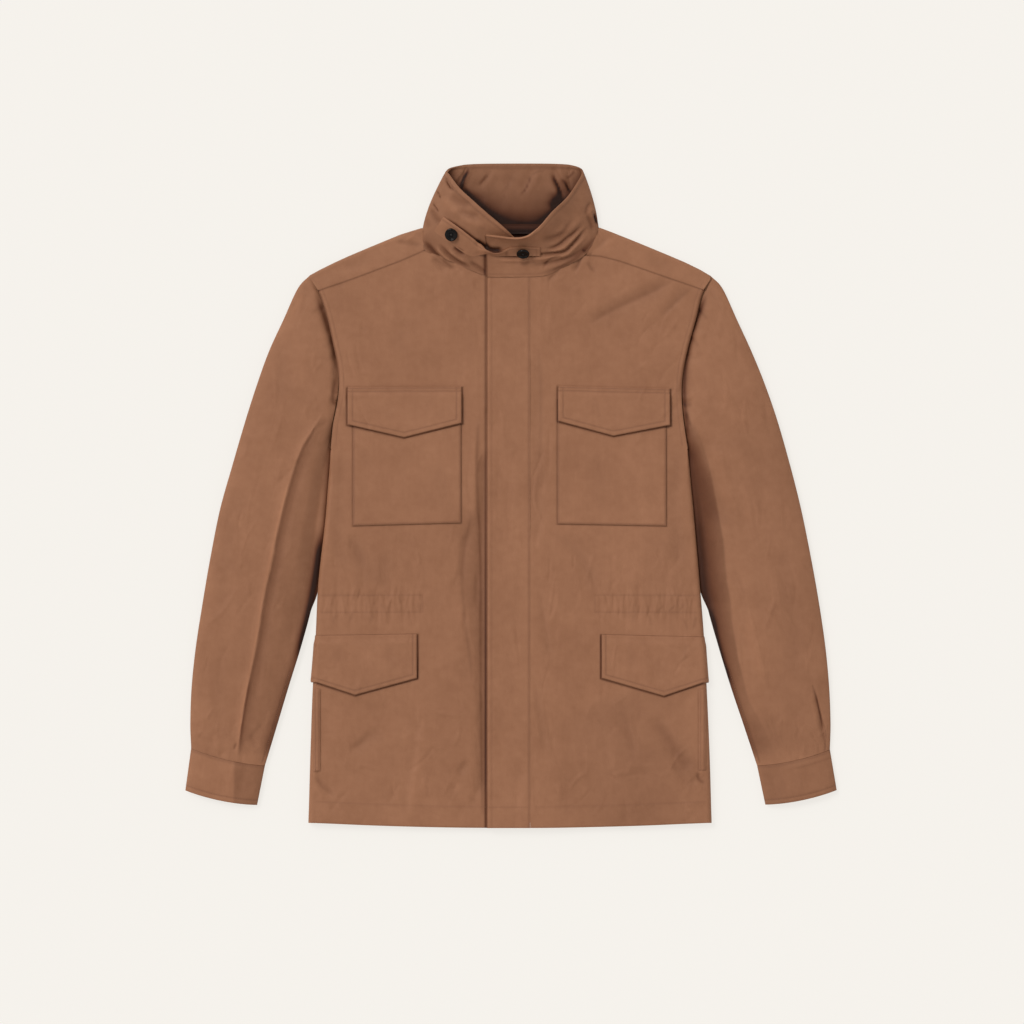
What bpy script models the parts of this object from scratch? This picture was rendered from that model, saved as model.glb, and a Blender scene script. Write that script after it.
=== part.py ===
"""Field jacket laid flat on its back, with its stand-up collar closed by a throat strap.

Frame: +X points to the wearer's left, +Y from the hem to the collar, +Z up from the surface under
the jacket. The origin is the middle of the footprint, on that surface. Tables are in millimetres.
The "out" columns are distances from the centre line, so one set of functions makes both sides.
Every cloth piece is a grid of points on its outer face, and a Solidify modifier gives it its wall.
"""
import math

import bpy
import numpy as np
from mathutils import Vector

MM = 0.001

# Driving dimensions, in millimetres
BODY_WALL = 1.8
BACK_WALL = 1.6
SLEEVE_WALL = 1.8
CUFF_WALL = 2.4
COLLAR_WALL = 2.4
PLACKET_WALL = 2.4
POCKET_WALL = 1.2
FLAP_WALL = 1.6
STRAP_WALL = 2.0
SEAM_GAP = 0.5
HIDDEN_GAP = 1.0
NECK_CORNER_GAP = 1.0
ARMHOLE_GAP = 1.1
LAY_GAP = 0.4

LEVEL_CENTRE = 10.0
LEVEL_SIDE = 11.4
LEVEL_RISE_FROM = 90.0
LEVEL_RISE_OVER = 125.0
TUCK_DEPTH = 12.0
TUCK_FADE = 8.0
OVERLAP_END = 105.0
OVERLAP_FADE = 80.0
CALM_AT_SIDE = 18.0
SHOULDER_THICKNESS = 9.0
SHOULDER_FOLD = 4.5
SIDE_FOLD_AT_PIT = 3.5
SIDE_FOLD = 5.5
SEAM_UNDER_AT_PIT = 8.0
SEAM_UNDER = 13.0
FOLD_GROWTH = 45.0
FOLD_SHARE = 0.45
ARCH_POWER = 3
BASE_POWER = 9
RING_CALM = 0.2

PIT_Y = 55.5
UNDERARM_ROWS = (-60.0, -22.0, 10.5, 25.5, 40.5, 55.5)
BACK_ARMHOLE_ROWS = (83.0, 111.0, 138.5, 165.0, 190.0, 213.0, 231.0, 245.0, 257.0)
WAIST_Y = -131.8
WAIST_REACH = 34.0
SHAPED_FROM_Y = 95.0
BACK_HEM_LIFT = 6.0

# Grid sizes
RING_POINTS = 26
SHOULDER_STEPS = 8
NECK_STEPS = 5
GATHER_STEPS = 4
FOLD_STEPS = 5
BELOW_ROWS = 6
WAIST_ROWS = 8
CHEST_ROWS = 8
ARMHOLE_FADE_RINGS = 7
CUFF_BOW_FROM = 9
COLLAR_ROWS = 6
COLLAR_COLUMNS = 41
STRAP_COLUMNS = 25
STRAP_ROWS = 4
PATCH_COLUMNS = 6
PATCH_ROWS = 5
WRAP_ANGLES = (30, 60, 90)

PLACKET_LEFT_X = -29.3
PLACKET_RIGHT_X = 23.2
PLACKET_TOP_Y = 267.2
HEM_Y = -405.6

BUTTON_RADIUS = 7.9
BUTTON_THICKNESS = 3.2
BUTTON_TURNS = 20
BUTTON_PROFILE = ((0.0, 0.0), (0.82, 0.0), (0.96, 0.18), (1.0, 0.5), (0.97, 0.82), (0.86, 1.0),
                  (0.74, 0.86), (0.60, 0.70), (0.0, 0.66))

SIDES = {"left": 1, "right": -1}
CLOTH = (0.314, 0.137, 0.075)
BUTTON_BLACK = (0.012, 0.010, 0.010)


def places(x, y, z):
    """Points from coordinates of any matching shapes."""
    return np.stack(np.broadcast_arrays(x, y, z), axis=-1).astype(float)


def table(names, *rows):
    """A short table: each column's name with its numbers."""
    return dict(zip(names.split(), np.array(rows, float).T))


# Silhouette of the body under the armpit, and the hem
BODY_EDGE = {
    "left": table("y out",
                  (-405.6, 245.2), (-386, 244.6), (-323, 242.8), (-237, 239.1),
                  (-170, 235.5), (-109, 230.6), (-30, 223.9), (55.5, 215.9)),
    "right": table("y out",
                   (-405.6, 247.7), (-386, 247.0), (-323, 245.2), (-237, 242.2),
                   (-170, 238.5), (-109, 235.5), (-30, 226.9), (55.5, 220.2)),
}
HEM = table("out y", (-14, -405.6), (60, -405.3), (158, -402.8), (232, -399.6), (250, -399.0))

# Armhole seam on the front, from the armpit to the shoulder tip
ARMHOLE = {
    "left": table("y out",
                  (55.5, 215.9), (87, 211.2), (112, 208.6), (138.5, 208.6), (157, 210.6),
                  (187, 217.3), (216.5, 225.6), (244.6, 232.6), (266.6, 243.5)),
    "right": table("y out",
                   (55.5, 220.2), (87, 217.2), (112, 212.3), (138.5, 209.8), (157, 211.1),
                   (187, 217.2), (216.5, 223.9), (244.6, 233.0), (266.6, 245.2)),
}

# Top edge of each front: the neck seam from the centre to the corner, then the shoulder seam
NECK_SEAM = {
    "left": table("out y", (23.8, 266.8), (41.5, 269), (59.8, 277.6), (72, 283.4), (91.5, 293.4)),
    "right": table("out y", (-13.4, 266.8), (29.3, 267.8), (50, 275.1), (68.3, 284.3),
                   (86.6, 292.5), (106.1, 298.9)),
}
SHOULDER_SEAM = {
    "left": table("out y", (91.5, 293.4), (108.6, 292.2), (133, 286.1), (157.4, 277.6),
                  (196.4, 264.1), (236, 250.6)),
    "right": table("out y", (106.1, 298.9), (135.4, 286.1), (164.7, 275.1), (190.3, 265.4),
                   (235.8, 249.8)),
}
SHOULDER_FOLD_LINE = {
    "left": table("out y", (108.6, 327.0), (120.8, 321.5), (157.4, 306.8), (194, 291),
                  (230.6, 274.5), (243.5, 266.6)),
    "right": table("out y", (109.8, 326.4), (135.4, 317.8), (172, 302), (208.6, 286.1),
                   (233, 274.0), (245.2, 266.6)),
}
BACK_NECK_Y = 320.2
BACK_NECK_RISE = 2.0

# Waist gathers: one trough a row, "above" and "below" say how far it runs from the drawcord casing
GATHERS = {
    "left": table("out width depth above below",
                  (109, 4.0, 1.3, 22, 26), (124, 4.5, 1.8, 30, 20), (140, 4.0, 1.4, 18, 30),
                  (156, 5.0, 1.9, 32, 24), (172, 4.2, 1.5, 24, 18), (189, 4.8, 1.8, 28, 30),
                  (205, 4.2, 1.4, 20, 24), (221, 4.6, 1.7, 26, 20)),
    "right": table("out width depth above below",
                   (116, 4.2, 1.4, 24, 20), (131, 4.6, 1.7, 20, 28), (147, 4.0, 1.5, 30, 22),
                   (163, 4.8, 1.9, 24, 30), (180, 4.4, 1.5, 32, 18), (196, 4.2, 1.7, 20, 26),
                   (212, 4.8, 1.8, 28, 24), (227, 4.2, 1.4, 18, 20)),
}

# Largest folds: a soft trough (negative rise) or ridge between two places, for each body side
BODY_FOLDS = {
    "left": table("out y end_out end_y width rise",
                  (196, 262, 95, 206, 11, -1.6), (72, -40, 108, -112, 13, -1.3),
                  (112, -300, 140, -395, 14, 1.4), (182, -318, 206, -352, 12, -1.2)),
    "right": table("out y end_out end_y width rise",
                   (46, -10, 50, -235, 13, -1.7), (62, -120, 44, -235, 12, 1.2),
                   (110, -268, 125, -390, 15, 1.3), (196, -48, 168, -112, 12, -1.2)),
}

# Sleeve stations from the armhole to the cuff seam: outer fold, inner fold and height of the top
SLEEVE = {
    "left": table("outer_out outer_y inner_out inner_y height",
                  (243.5, 266.6, 217.4, 55.5, 10.5), (257.5, 252.0, 217.9, 50.5, 12.5),
                  (276.0, 214.0, 218.6, 43.0, 14.5), (293.0, 177.0, 219.4, 34.0, 15.5),
                  (309.0, 138.0, 220.2, 24.0, 16.0), (325.0, 92.0, 221.6, 10.0, 16.0),
                  (341.0, 36.0, 223.6, -12.0, 15.5), (354.5, -18.0, 226.6, -42.0, 15.0),
                  (367.0, -80.0, 231.2, -88.0, 15.0), (376.5, -134.0, 239.0, -133.0, 14.5),
                  (384.0, -186.0, 252.5, -182.0, 14.0), (388.5, -234.0, 267.8, -232.0, 13.0),
                  (390.2, -278.0, 284.6, -282.0, 12.0), (389.4, -310.0, 300.4, -329.6, 10.5)),
    "right": table("outer_out outer_y inner_out inner_y height",
                   (245.2, 266.6, 221.6, 55.5, 10.5), (259.5, 252.0, 222.0, 50.5, 12.5),
                   (278.0, 214.0, 222.7, 43.0, 14.5), (295.0, 177.0, 223.4, 34.0, 15.5),
                   (311.0, 138.0, 224.2, 24.0, 16.0), (326.5, 92.0, 225.5, 10.0, 16.0),
                   (342.0, 36.0, 227.2, -12.0, 15.5), (355.5, -18.0, 230.2, -42.0, 15.0),
                   (367.8, -80.0, 235.8, -88.0, 15.0), (377.0, -134.0, 242.6, -133.0, 14.5),
                   (385.0, -186.0, 255.5, -182.0, 14.0), (390.0, -234.0, 271.0, -232.0, 13.0),
                   (391.6, -278.0, 286.0, -282.0, 12.0), (390.6, -308.5, 300.4, -329.6, 10.5)),
}
SLEEVE_FOLDS = {
    "left": table("out y end_out end_y width rise",
                  (226, 74, 258, -44, 13, -2.6), (246, 70, 268, -20, 14, 2.0),
                  (290, -136, 314, -238, 12, 1.8)),
    "right": table("out y end_out end_y width rise",
                   (236, 84, 284, -46, 12, 2.4), (284, -46, 332, -306, 12, 2.2),
                   (252, 40, 268, -60, 13, -1.8)),
}
CUFF_END = {
    "left": table("outer_out outer_y inner_out inner_y", (397.7, -359.6, 310.5, -377.4)),
    "right": table("outer_out outer_y inner_out inner_y", (397.7, -360.0, 310.0, -377.8)),
}
CUFF_HEIGHT = 11.1
CUFF_BOW = 3.6

# Patch pockets, flaps and welts: heights of their top and low edge at each corner, on the front
CHEST_POCKET = {
    "left": table("out top low", (56.4, 117.5, -34.8), (189.5, 117.0, -37.2)),
    "right": table("out top low", (60.8, 117.5, -33.5), (193.0, 117.5, -37.2)),
}
CHEST_FLAP = {
    "left": table("out top low", (57.2, 133.6, 90.9), (125.0, 132.0, 72.6), (194.0, 130.5, 86.0)),
    "right": table("out top low", (60.2, 132.9, 88.5), (130.5, 132.6, 70.8), (199.5, 132.4, 86.6)),
}
HIP_FLAP = {
    "left": table("out top low", (110.5, -169.0, -222.7), (186.7, -171.0, -244.6),
                  (233.5, -172.0, -228.5)),
    "right": table("out top low", (114.7, -168.4, -222.7), (190.3, -169.6, -243.4),
                   (236.7, -170.2, -228.0)),
}
WELT = {
    "left": table("out top low", (224.0, -236.5, -334.9), (232.5, -236.5, -334.9)),
    "right": table("out top low", (227.5, -236.0, -336.1), (235.5, -236.0, -336.1)),
}

# Collar strip, from its under end in front, round the back, to its upper end in front
COLLAR = table(
    "base_x base_y base_z knee_x knee_y knee_z top_x top_y top_z",
    (20.0, 270.4, 9.0, 20.0, 284.0, 11.4, 20.0, 299.0, 20.0),
    (-4.0, 269.8, 9.2, -5.0, 285.0, 13.2, -4.5, 320.0, 38.0),
    (-29.3, 269.3, 10.2, -30.0, 289.5, 16.0, -26.8, 339.8, 37.0),
    (-57.0, 279.8, 10.8, -60.0, 302.0, 18.5, -46.0, 358.0, 33.0),
    (-83.0, 292.3, 10.8, -83.5, 315.0, 17.5, -63.0, 374.5, 26.5),
    (-101.5, 301.2, 10.0, -97.5, 331.5, 14.0, -75.0, 390.5, 18.5),
    (-107.6, 320.0, 5.4, -103.0, 344.5, 7.0, -80.2, 399.3, 9.0),
    (-98.0, 323.2, 0.5, -92.0, 355.0, 0.6, -70.0, 403.6, 1.0),
    (-60.0, 321.9, 0.0, -56.0, 354.0, 0.0, -44.0, 405.0, 0.0),
    (0.0, 321.1, 0.0, 0.0, 355.0, 0.0, 4.0, 405.6, 0.0),
    (60.0, 321.9, 0.0, 58.0, 354.0, 0.0, 56.0, 405.2, 0.0),
    (97.0, 323.2, 0.5, 91.5, 354.0, 0.6, 78.0, 402.8, 1.0),
    (106.8, 321.0, 5.4, 104.0, 346.0, 7.0, 88.0, 396.0, 9.0),
    (98.6, 306.9, 10.0, 95.0, 331.0, 15.0, 83.0, 384.0, 18.5),
    (87.0, 292.9, 11.2, 77.0, 311.0, 18.5, 70.5, 364.0, 29.0),
    (64.0, 280.4, 12.2, 57.0, 298.5, 20.0, 51.0, 344.0, 38.0),
    (41.0, 269.9, 13.0, 37.0, 291.5, 21.0, 32.5, 322.5, 44.0),
    (11.0, 267.9, 13.4, 11.0, 290.5, 21.5, 11.0, 310.5, 46.5),
    (-29.6, 267.9, 14.2, -30.0, 290.5, 22.0, -32.0, 315.0, 41.0),
)
COLLAR_KNEE = 0.36

# Throat strap: its upper and lower edge on the collar, from the wearer's right end
STRAP = table(
    "upper_x upper_y upper_z lower_x lower_y lower_z",
    (-84.0, 340.0, 22.8, -95.0, 325.0, 17.8), (-79.3, 336.7, 24.4, -92.0, 318.7, 18.4),
    (-62.2, 324.5, 27.1, -75.0, 306.2, 20.5), (-46.4, 312.3, 27.4, -58.6, 293.4, 19.6),
    (-29.3, 299.0, 30.6, -39.0, 282.4, 20.6), (-13.4, 294.5, 28.4, -17.1, 278.0, 20.8),
    (2.0, 299.5, 32.4, 1.5, 286.0, 23.6), (14.6, 301.5, 34.2, 15.9, 290.5, 25.6),
    (36.0, 302.5, 31.0, 36.0, 292.3, 25.0),
)
NECK_TAPE_HALF = 62.0
NECK_TAPE_LOW = 323.4
NECK_TAPE_HIGH = 331.4
NECK_TAPE_WALL = 1.0
BUTTONS = {
    "button_strap": {"seat": (-72.6, 317.6, 24.1), "lean": (14, -10, 0)},
    "button_end": {"seat": (14.6, 295.8, 30.8), "lean": (39, 0, 0)},
}


def clear_scene():
    """Remove every object, so that the file can be run twice."""
    for thing in list(bpy.data.objects):
        bpy.data.objects.remove(thing, do_unlink=True)


def smooth(knots, values, at):
    """Smooth curve through the table: a cubic whose slopes are those of the neighbouring chords."""
    slope = np.gradient(values, knots)
    at = np.clip(at, knots[0], knots[-1])
    spot = np.clip(np.searchsorted(knots, at, side="right") - 1, 0, len(knots) - 2)
    span = knots[spot + 1] - knots[spot]
    t = (at - knots[spot]) / span
    start = values[spot] * (1 + 2 * t) * (1 - t) ** 2 + slope[spot] * span * t * (1 - t) ** 2
    end = values[spot + 1] * t * t * (3 - 2 * t) + slope[spot + 1] * span * t * t * (t - 1)
    return start + end


def ease(t):
    """Soft step from 0 to 1."""
    t = np.clip(t, 0, 1)
    return t * t * (3 - 2 * t)


def edge_out(side, y):
    """Silhouette of the body at y, under the armpit."""
    return smooth(BODY_EDGE[side]["y"], BODY_EDGE[side]["out"], y)


def armhole_out(side, y):
    """Armhole seam at y, over the armpit."""
    return smooth(ARMHOLE[side]["y"], ARMHOLE[side]["out"], y)


def fold_depth(y):
    """How far the side fold curves in from the silhouette: small at the armpit, full below it."""
    return SIDE_FOLD_AT_PIT + (SIDE_FOLD - SIDE_FOLD_AT_PIT) * ease((PIT_Y - y) / FOLD_GROWTH)


def seam_under(y):
    """How far the side seam lies in from the silhouette, on the underside."""
    return SEAM_UNDER_AT_PIT + (SEAM_UNDER - SEAM_UNDER_AT_PIT) * ease((PIT_Y - y) / FOLD_GROWTH)


def fold_height(folds, out, y):
    """Sum of the soft folds of a table: each is a bell across its line that fades at its ends."""
    total = np.zeros(np.broadcast(out, y).shape)
    for k in range(len(folds["out"])):
        run_out = folds["end_out"][k] - folds["out"][k]
        run_y = folds["end_y"][k] - folds["y"][k]
        length = math.hypot(run_out, run_y)
        along = ((out - folds["out"][k]) * run_out + (y - folds["y"][k]) * run_y) / length ** 2
        across = ((out - folds["out"][k]) * run_y - (y - folds["y"][k]) * run_out) / length
        fade = ease((along + 0.1) / 0.3) * ease((1.1 - along) / 0.3)
        total = total + folds["rise"][k] * fade * np.exp(-(across / folds["width"][k]) ** 2)
    return total


def gather_height(side, out, y):
    """Waist gathers: each trough is a bell across, deepest on the casing, fading above and below."""
    rows = GATHERS[side]
    total = np.zeros(np.broadcast(out, y).shape)
    for k in range(len(rows["out"])):
        reach = np.where(y > WAIST_Y, rows["above"][k], rows["below"][k])
        fade = np.exp(-((y - WAIST_Y) / reach) ** 2)
        total = total - rows["depth"][k] * fade * np.exp(-((out - rows["out"][k]) / rows["width"][k]) ** 2)
    return total


def front_height(side, out, y):
    """Outer face of a front over its flat part: low at the centre, higher towards the side fold."""
    rise = ease((out - LEVEL_RISE_FROM) / LEVEL_RISE_OVER)
    level = LEVEL_CENTRE + (LEVEL_SIDE - LEVEL_CENTRE) * rise
    if side == "left":
        lift = LAY_GAP + PLACKET_WALL
        level = level + lift * ease((OVERLAP_END - out) / OVERLAP_FADE)
    calm = ease((edge_out(side, np.minimum(y, PIT_Y)) - out) / CALM_AT_SIDE)
    return level + calm * (fold_height(BODY_FOLDS[side], out, y) + gather_height(side, out, y))


def front_points(side, out, y, lift=0.0):
    """Outer face of a front, also round its side fold, moved out by lift: (x, y, z)."""
    out, y = np.broadcast_arrays(np.asarray(out, float), np.asarray(y, float))
    depth = fold_depth(y)
    start = edge_out(side, np.minimum(y, PIT_Y)) - depth
    lean = np.where(y < PIT_Y, np.clip((out - start) / depth, 0, 1), 0)
    rise = np.sqrt(1 - lean ** 2)
    half = LEVEL_SIDE / 2
    z = np.where(lean > 0, half + half * rise, front_height(side, out, y))
    size = np.hypot(lean / depth, rise / half)
    away = np.where(lean > 0, lean / depth / size, 0)
    up = np.where(lean > 0, rise / half / size, 1)
    return places(SIDES[side] * (out + lift * away), y, z + lift * up)


def material(name, colour, roughness):
    """A plain principled material."""
    finish = bpy.data.materials.get(name) or bpy.data.materials.new(name)
    finish.use_nodes = True
    shader = finish.node_tree.nodes["Principled BSDF"]
    shader.inputs["Base Color"].default_value = (*colour, 1.0)
    shader.inputs["Roughness"].default_value = roughness
    return finish


def add_mesh(name, points, faces, colour=CLOTH, roughness=0.62):
    """Put millimetre points and faces into the scene as a smooth object."""
    mesh = bpy.data.meshes.new(name)
    mesh.from_pydata((np.asarray(points) * MM).tolist(), [], faces)
    mesh.update()
    mesh.shade_smooth()
    mesh.materials.append(material(name, colour, roughness))
    thing = bpy.data.objects.new(name, mesh)
    bpy.context.scene.collection.objects.link(thing)
    return thing


def sheet_faces(rows, columns, keep, stride, closed):
    """Cells of a grid as faces. A coarse row takes every stride-th column, and the row between a
    coarse and a fine row gets cells with the fine points along one side."""
    faces = []
    for r in range(rows - 1):
        coarse = stride["coarse"] if stride else list(range(columns))
        fine = stride["fine_rows"] if stride else ()
        low_fine = r in fine
        high_fine = r + 1 in fine
        steps = list(range(columns)) if low_fine and high_fine else coarse
        if closed:
            steps = steps + [columns]
        for a, b in zip(steps[:-1], steps[1:]):
            if keep is not None and not keep[r, a]:
                continue
            low = range(a, b + 1) if low_fine else (a, b)
            high = range(b, a - 1, -1) if high_fine else (b, a)
            face = [r * columns + c % columns for c in low]
            face += [(r + 1) * columns + c % columns for c in high]
            faces.append(face)
    return faces


def cloth(name, grid, wall, flip=False, keep=None, stride=None, closed=False, colour=CLOTH):
    """One piece of cloth: the grid is its outer face, and the wall grows inwards from it."""
    rows, columns = grid.shape[:2]
    faces = sheet_faces(rows, columns, keep, stride, closed)
    if flip:
        faces = [face[::-1] for face in faces]
    used = sorted({corner for face in faces for corner in face})
    place = {corner: k for k, corner in enumerate(used)}
    faces = [[place[corner] for corner in face] for face in faces]
    thing = add_mesh(name, grid.reshape(-1, 3)[used], faces, colour)
    solid = thing.modifiers.new("wall", "SOLIDIFY")
    solid.thickness = wall * MM
    solid.offset = -1.0
    solid.use_rim = True
    return thing


def front_rows():
    """Heights of a front's grid rows, closer together over the waist gathers."""
    below = np.linspace(HEM_Y, WAIST_Y - WAIST_REACH, BELOW_ROWS + 1)[:-1]
    waist = np.linspace(WAIST_Y - WAIST_REACH, WAIST_Y + WAIST_REACH, WAIST_ROWS)
    chest = np.linspace(PIT_Y, PLACKET_TOP_Y, CHEST_ROWS + 1)[1:]
    rows = np.concatenate([below, waist, UNDERARM_ROWS, chest])
    first_fine = len(below)
    return rows, range(first_fine, first_fine + len(waist)), len(rows) - len(chest) - 1


def shoulder_seam(side):
    """Points on the shoulder seam that the front and the back have in common: (out, y)."""
    seam = SHOULDER_SEAM[side]
    tip = armhole_out(side, seam["y"][-1]) - ARMHOLE_GAP / 2
    out = np.linspace(seam["out"][0], tip, SHOULDER_STEPS + 1)
    return out, np.interp(out, seam["out"], seam["y"])


def make_front(side):
    """A front: flat over the body, turned round the side fold, and under it to the side seam."""
    rows, fine_rows, pit_row = front_rows()
    neck = NECK_SEAM[side]
    seam_out, seam_y = shoulder_seam(side)
    fine = np.linspace(0, SHOULDER_STEPS, GATHER_STEPS * SHOULDER_STEPS + 1)
    neck_out = np.linspace(neck["out"][0], neck["out"][-1], NECK_STEPS + 1)[:-1]
    top_out = np.append(neck_out, np.interp(fine, range(SHOULDER_STEPS + 1), seam_out))
    top_y = np.append(np.interp(neck_out, neck["out"], neck["y"]),
                      np.interp(fine, range(SHOULDER_STEPS + 1), seam_y))
    centre = top_out[0]
    share = (top_out - centre) / (top_out[-1] - centre)
    coarse = list(range(NECK_STEPS)) + list(range(NECK_STEPS, len(share), GATHER_STEPS))
    rise = ease((rows - SHAPED_FROM_Y) / (PLACKET_TOP_Y - SHAPED_FROM_Y))
    y = rows[:, None] + rise[:, None] * (top_y[None, :] - SEAM_GAP / 2 - PLACKET_TOP_Y)
    hem_share = ease((WAIST_Y - WAIST_REACH - rows) / (WAIST_Y - WAIST_REACH - HEM_Y))
    hem_y = smooth(HEM["out"], HEM["y"], top_out)
    y = y + hem_share[:, None] * (hem_y - HEM_Y)[None, :]
    side_y = y[:, -1]
    limit = np.where(side_y > PIT_Y + 1, armhole_out(side, side_y) - ARMHOLE_GAP / 2,
                     edge_out(side, np.minimum(side_y, PIT_Y)) - fold_depth(side_y))
    out = centre + (limit - centre)[:, None] * share[None, :]
    flat = front_points(side, out, y)
    angles = np.radians(np.linspace(90, -90, FOLD_STEPS + 1)[1:])
    turn_out = limit[:, None] + fold_depth(side_y)[:, None] * np.cos(angles)
    half = LEVEL_SIDE / 2
    turn = places(SIDES[side] * turn_out, side_y[:, None], half + half * np.sin(angles))
    under_out = edge_out(side, np.minimum(side_y, PIT_Y)) - seam_under(side_y)
    under = places(SIDES[side] * under_out, side_y, 0)[:, None, :]
    grid = np.concatenate([flat, turn, under], axis=1)
    columns = grid.shape[1]
    keep = np.ones((len(rows) - 1, columns - 1), bool)
    keep[pit_row:, len(share) - 1:] = False
    coarse = coarse + list(range(len(share), columns))
    return cloth("front_" + side, grid, BODY_WALL, flip=side == "right", keep=keep,
                 stride={"coarse": coarse, "fine_rows": fine_rows})


def back_half_width(side, y):
    """Edge of the back on the underside: the side seam, then the armhole."""
    seam = edge_out(side, np.minimum(y, PIT_Y)) - seam_under(y) - HIDDEN_GAP
    return np.where(y > PIT_Y + 1, armhole_out(side, y) - ARMHOLE_GAP / 2, seam)


def back_fold(side):
    """Points where the back starts to turn over the shoulder: (out, y)."""
    fold = SHOULDER_FOLD_LINE[side]
    out = np.linspace(fold["out"][0] + NECK_CORNER_GAP, fold["out"][-1] - ARMHOLE_GAP / 2,
                      SHOULDER_STEPS + 1)
    return out, np.interp(out, fold["out"], fold["y"]) - SHOULDER_FOLD


def make_back():
    """The back: flat under the body, its shoulder arms turned over the fold to the front seam."""
    below = np.linspace(HEM_Y + BACK_HEM_LIFT, UNDERARM_ROWS[0], BELOW_ROWS)[:-1]
    lower = np.concatenate([below, UNDERARM_ROWS, BACK_ARMHOLE_ROWS])
    neck = np.linspace(0, 1, NECK_STEPS + 1)[1:-1]
    angles = np.radians(np.linspace(-90, 90, FOLD_STEPS + 1)[1:])
    floor = []
    over = []
    for side in ("right", "left"):
        fold_out, fold_y = back_fold(side)
        seam_out, seam_y = shoulder_seam(side)
        columns = []
        for k in range(SHOULDER_STEPS + 1):
            width = back_half_width(side, lower) * fold_out[k] / fold_out[-1]
            columns.append(places(SIDES[side] * np.append(width, fold_out[k]),
                                  np.append(lower, fold_y[k]), 0))
        turned = []
        for angle in angles:
            turned.append(places(SIDES[side] * fold_out, fold_y + SHOULDER_FOLD * np.cos(angle),
                                 SHOULDER_THICKNESS / 2 * (1 + np.sin(angle))))
        for share in (0.5, 1.0):
            out = fold_out + (seam_out - fold_out) * share
            y = fold_y + (seam_y + SEAM_GAP / 2 - fold_y) * share
            z = SHOULDER_THICKNESS + (front_height(side, out, y) - SHOULDER_THICKNESS) * ease(share)
            turned.append(places(SIDES[side] * out, y, z))
        floor.append(np.stack(columns, axis=1))
        over.append(np.stack(turned, axis=0))
    right_neck = floor[0][:, 0]
    left_neck = floor[1][:, 0]
    middle = []
    for share in neck:
        column = right_neck + (left_neck - right_neck) * share
        column[-1, 1] = BACK_NECK_Y + BACK_NECK_RISE * (2 * share - 1) ** 2
        middle.append(column)
    middle = np.stack(middle, axis=1)
    low = np.concatenate([floor[0][:, ::-1], middle, floor[1]], axis=1)
    gap = np.zeros((over[0].shape[0], len(neck), 3))
    high = np.concatenate([over[0][:, ::-1], gap, over[1]], axis=1)
    grid = np.concatenate([low, high], axis=0)
    keep = np.ones((grid.shape[0] - 1, grid.shape[1] - 1), bool)
    first_over = low.shape[0] - 1
    keep[first_over:, SHOULDER_STEPS:SHOULDER_STEPS + 1 + len(neck)] = False
    return cloth("back", grid, BACK_WALL, flip=True, keep=keep)


def ring(outer, inner, bow, height, around, folds):
    """One flattened ring of a sleeve: its top is a low arch with round folds, its bottom is flat.
    outer and inner are its two folds, and bow moves its middle off their chord."""
    share = (1 - np.cos(around)) / 2
    spread = np.abs(2 * share - 1)
    centre = outer + (inner - outer) * share[:, None] + bow
    fold = height * FOLD_SHARE
    arch = fold + (height - fold) * np.sqrt(1 - spread ** ARCH_POWER)
    flat = fold - fold * np.sqrt(1 - spread ** BASE_POWER)
    top = np.sin(around) >= 0
    z = np.where(top, arch, flat)
    calm = ease((1 - spread) / RING_CALM)
    z = z + np.where(top, calm * fold_height(folds, centre[:, 0], centre[:, 1]), 0)
    return np.column_stack([centre, z])


def sleeve_rings(side, around):
    """Rings of a sleeve: the first follows the armhole seam, and the curve fades down the sleeve."""
    rows = SLEEVE[side]
    share = (1 - np.cos(around)) / 2
    tip_y = ARMHOLE[side]["y"][-1]
    seam_y = tip_y + (PIT_Y - tip_y) * share
    seam_out = armhole_out(side, seam_y) + ARMHOLE_GAP / 2
    chord = ARMHOLE[side]["out"][-1] + (ARMHOLE[side]["out"][0] - ARMHOLE[side]["out"][-1]) * share
    seam_bow = seam_out - chord
    rings = []
    for k in range(len(rows["height"])):
        outer = np.array([rows["outer_out"][k], rows["outer_y"][k]])
        inner = np.array([rows["inner_out"][k], rows["inner_y"][k]])
        fade = 1 - ease(k / ARMHOLE_FADE_RINGS)
        low = ease((k - CUFF_BOW_FROM) / (len(rows["height"]) - 1 - CUFF_BOW_FROM))
        bow = np.column_stack([seam_bow * fade, -CUFF_BOW * low * 4 * share * (1 - share)])
        rings.append(ring(outer, inner, bow, rows["height"][k], around, SLEEVE_FOLDS[side]))
    return np.stack(rings)


def mirrored(side, grid):
    """Turn the out distances of a grid into X."""
    grid = grid.copy()
    grid[..., 0] *= SIDES[side]
    return grid


def make_sleeve(side):
    """A sleeve tube, laid flat, open at the armhole and at the cuff seam."""
    around = np.linspace(0, 2 * math.pi, RING_POINTS + 1)[:-1]
    return cloth("sleeve_" + side, mirrored(side, sleeve_rings(side, around)), SLEEVE_WALL,
                 flip=side == "right", closed=True)


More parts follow.
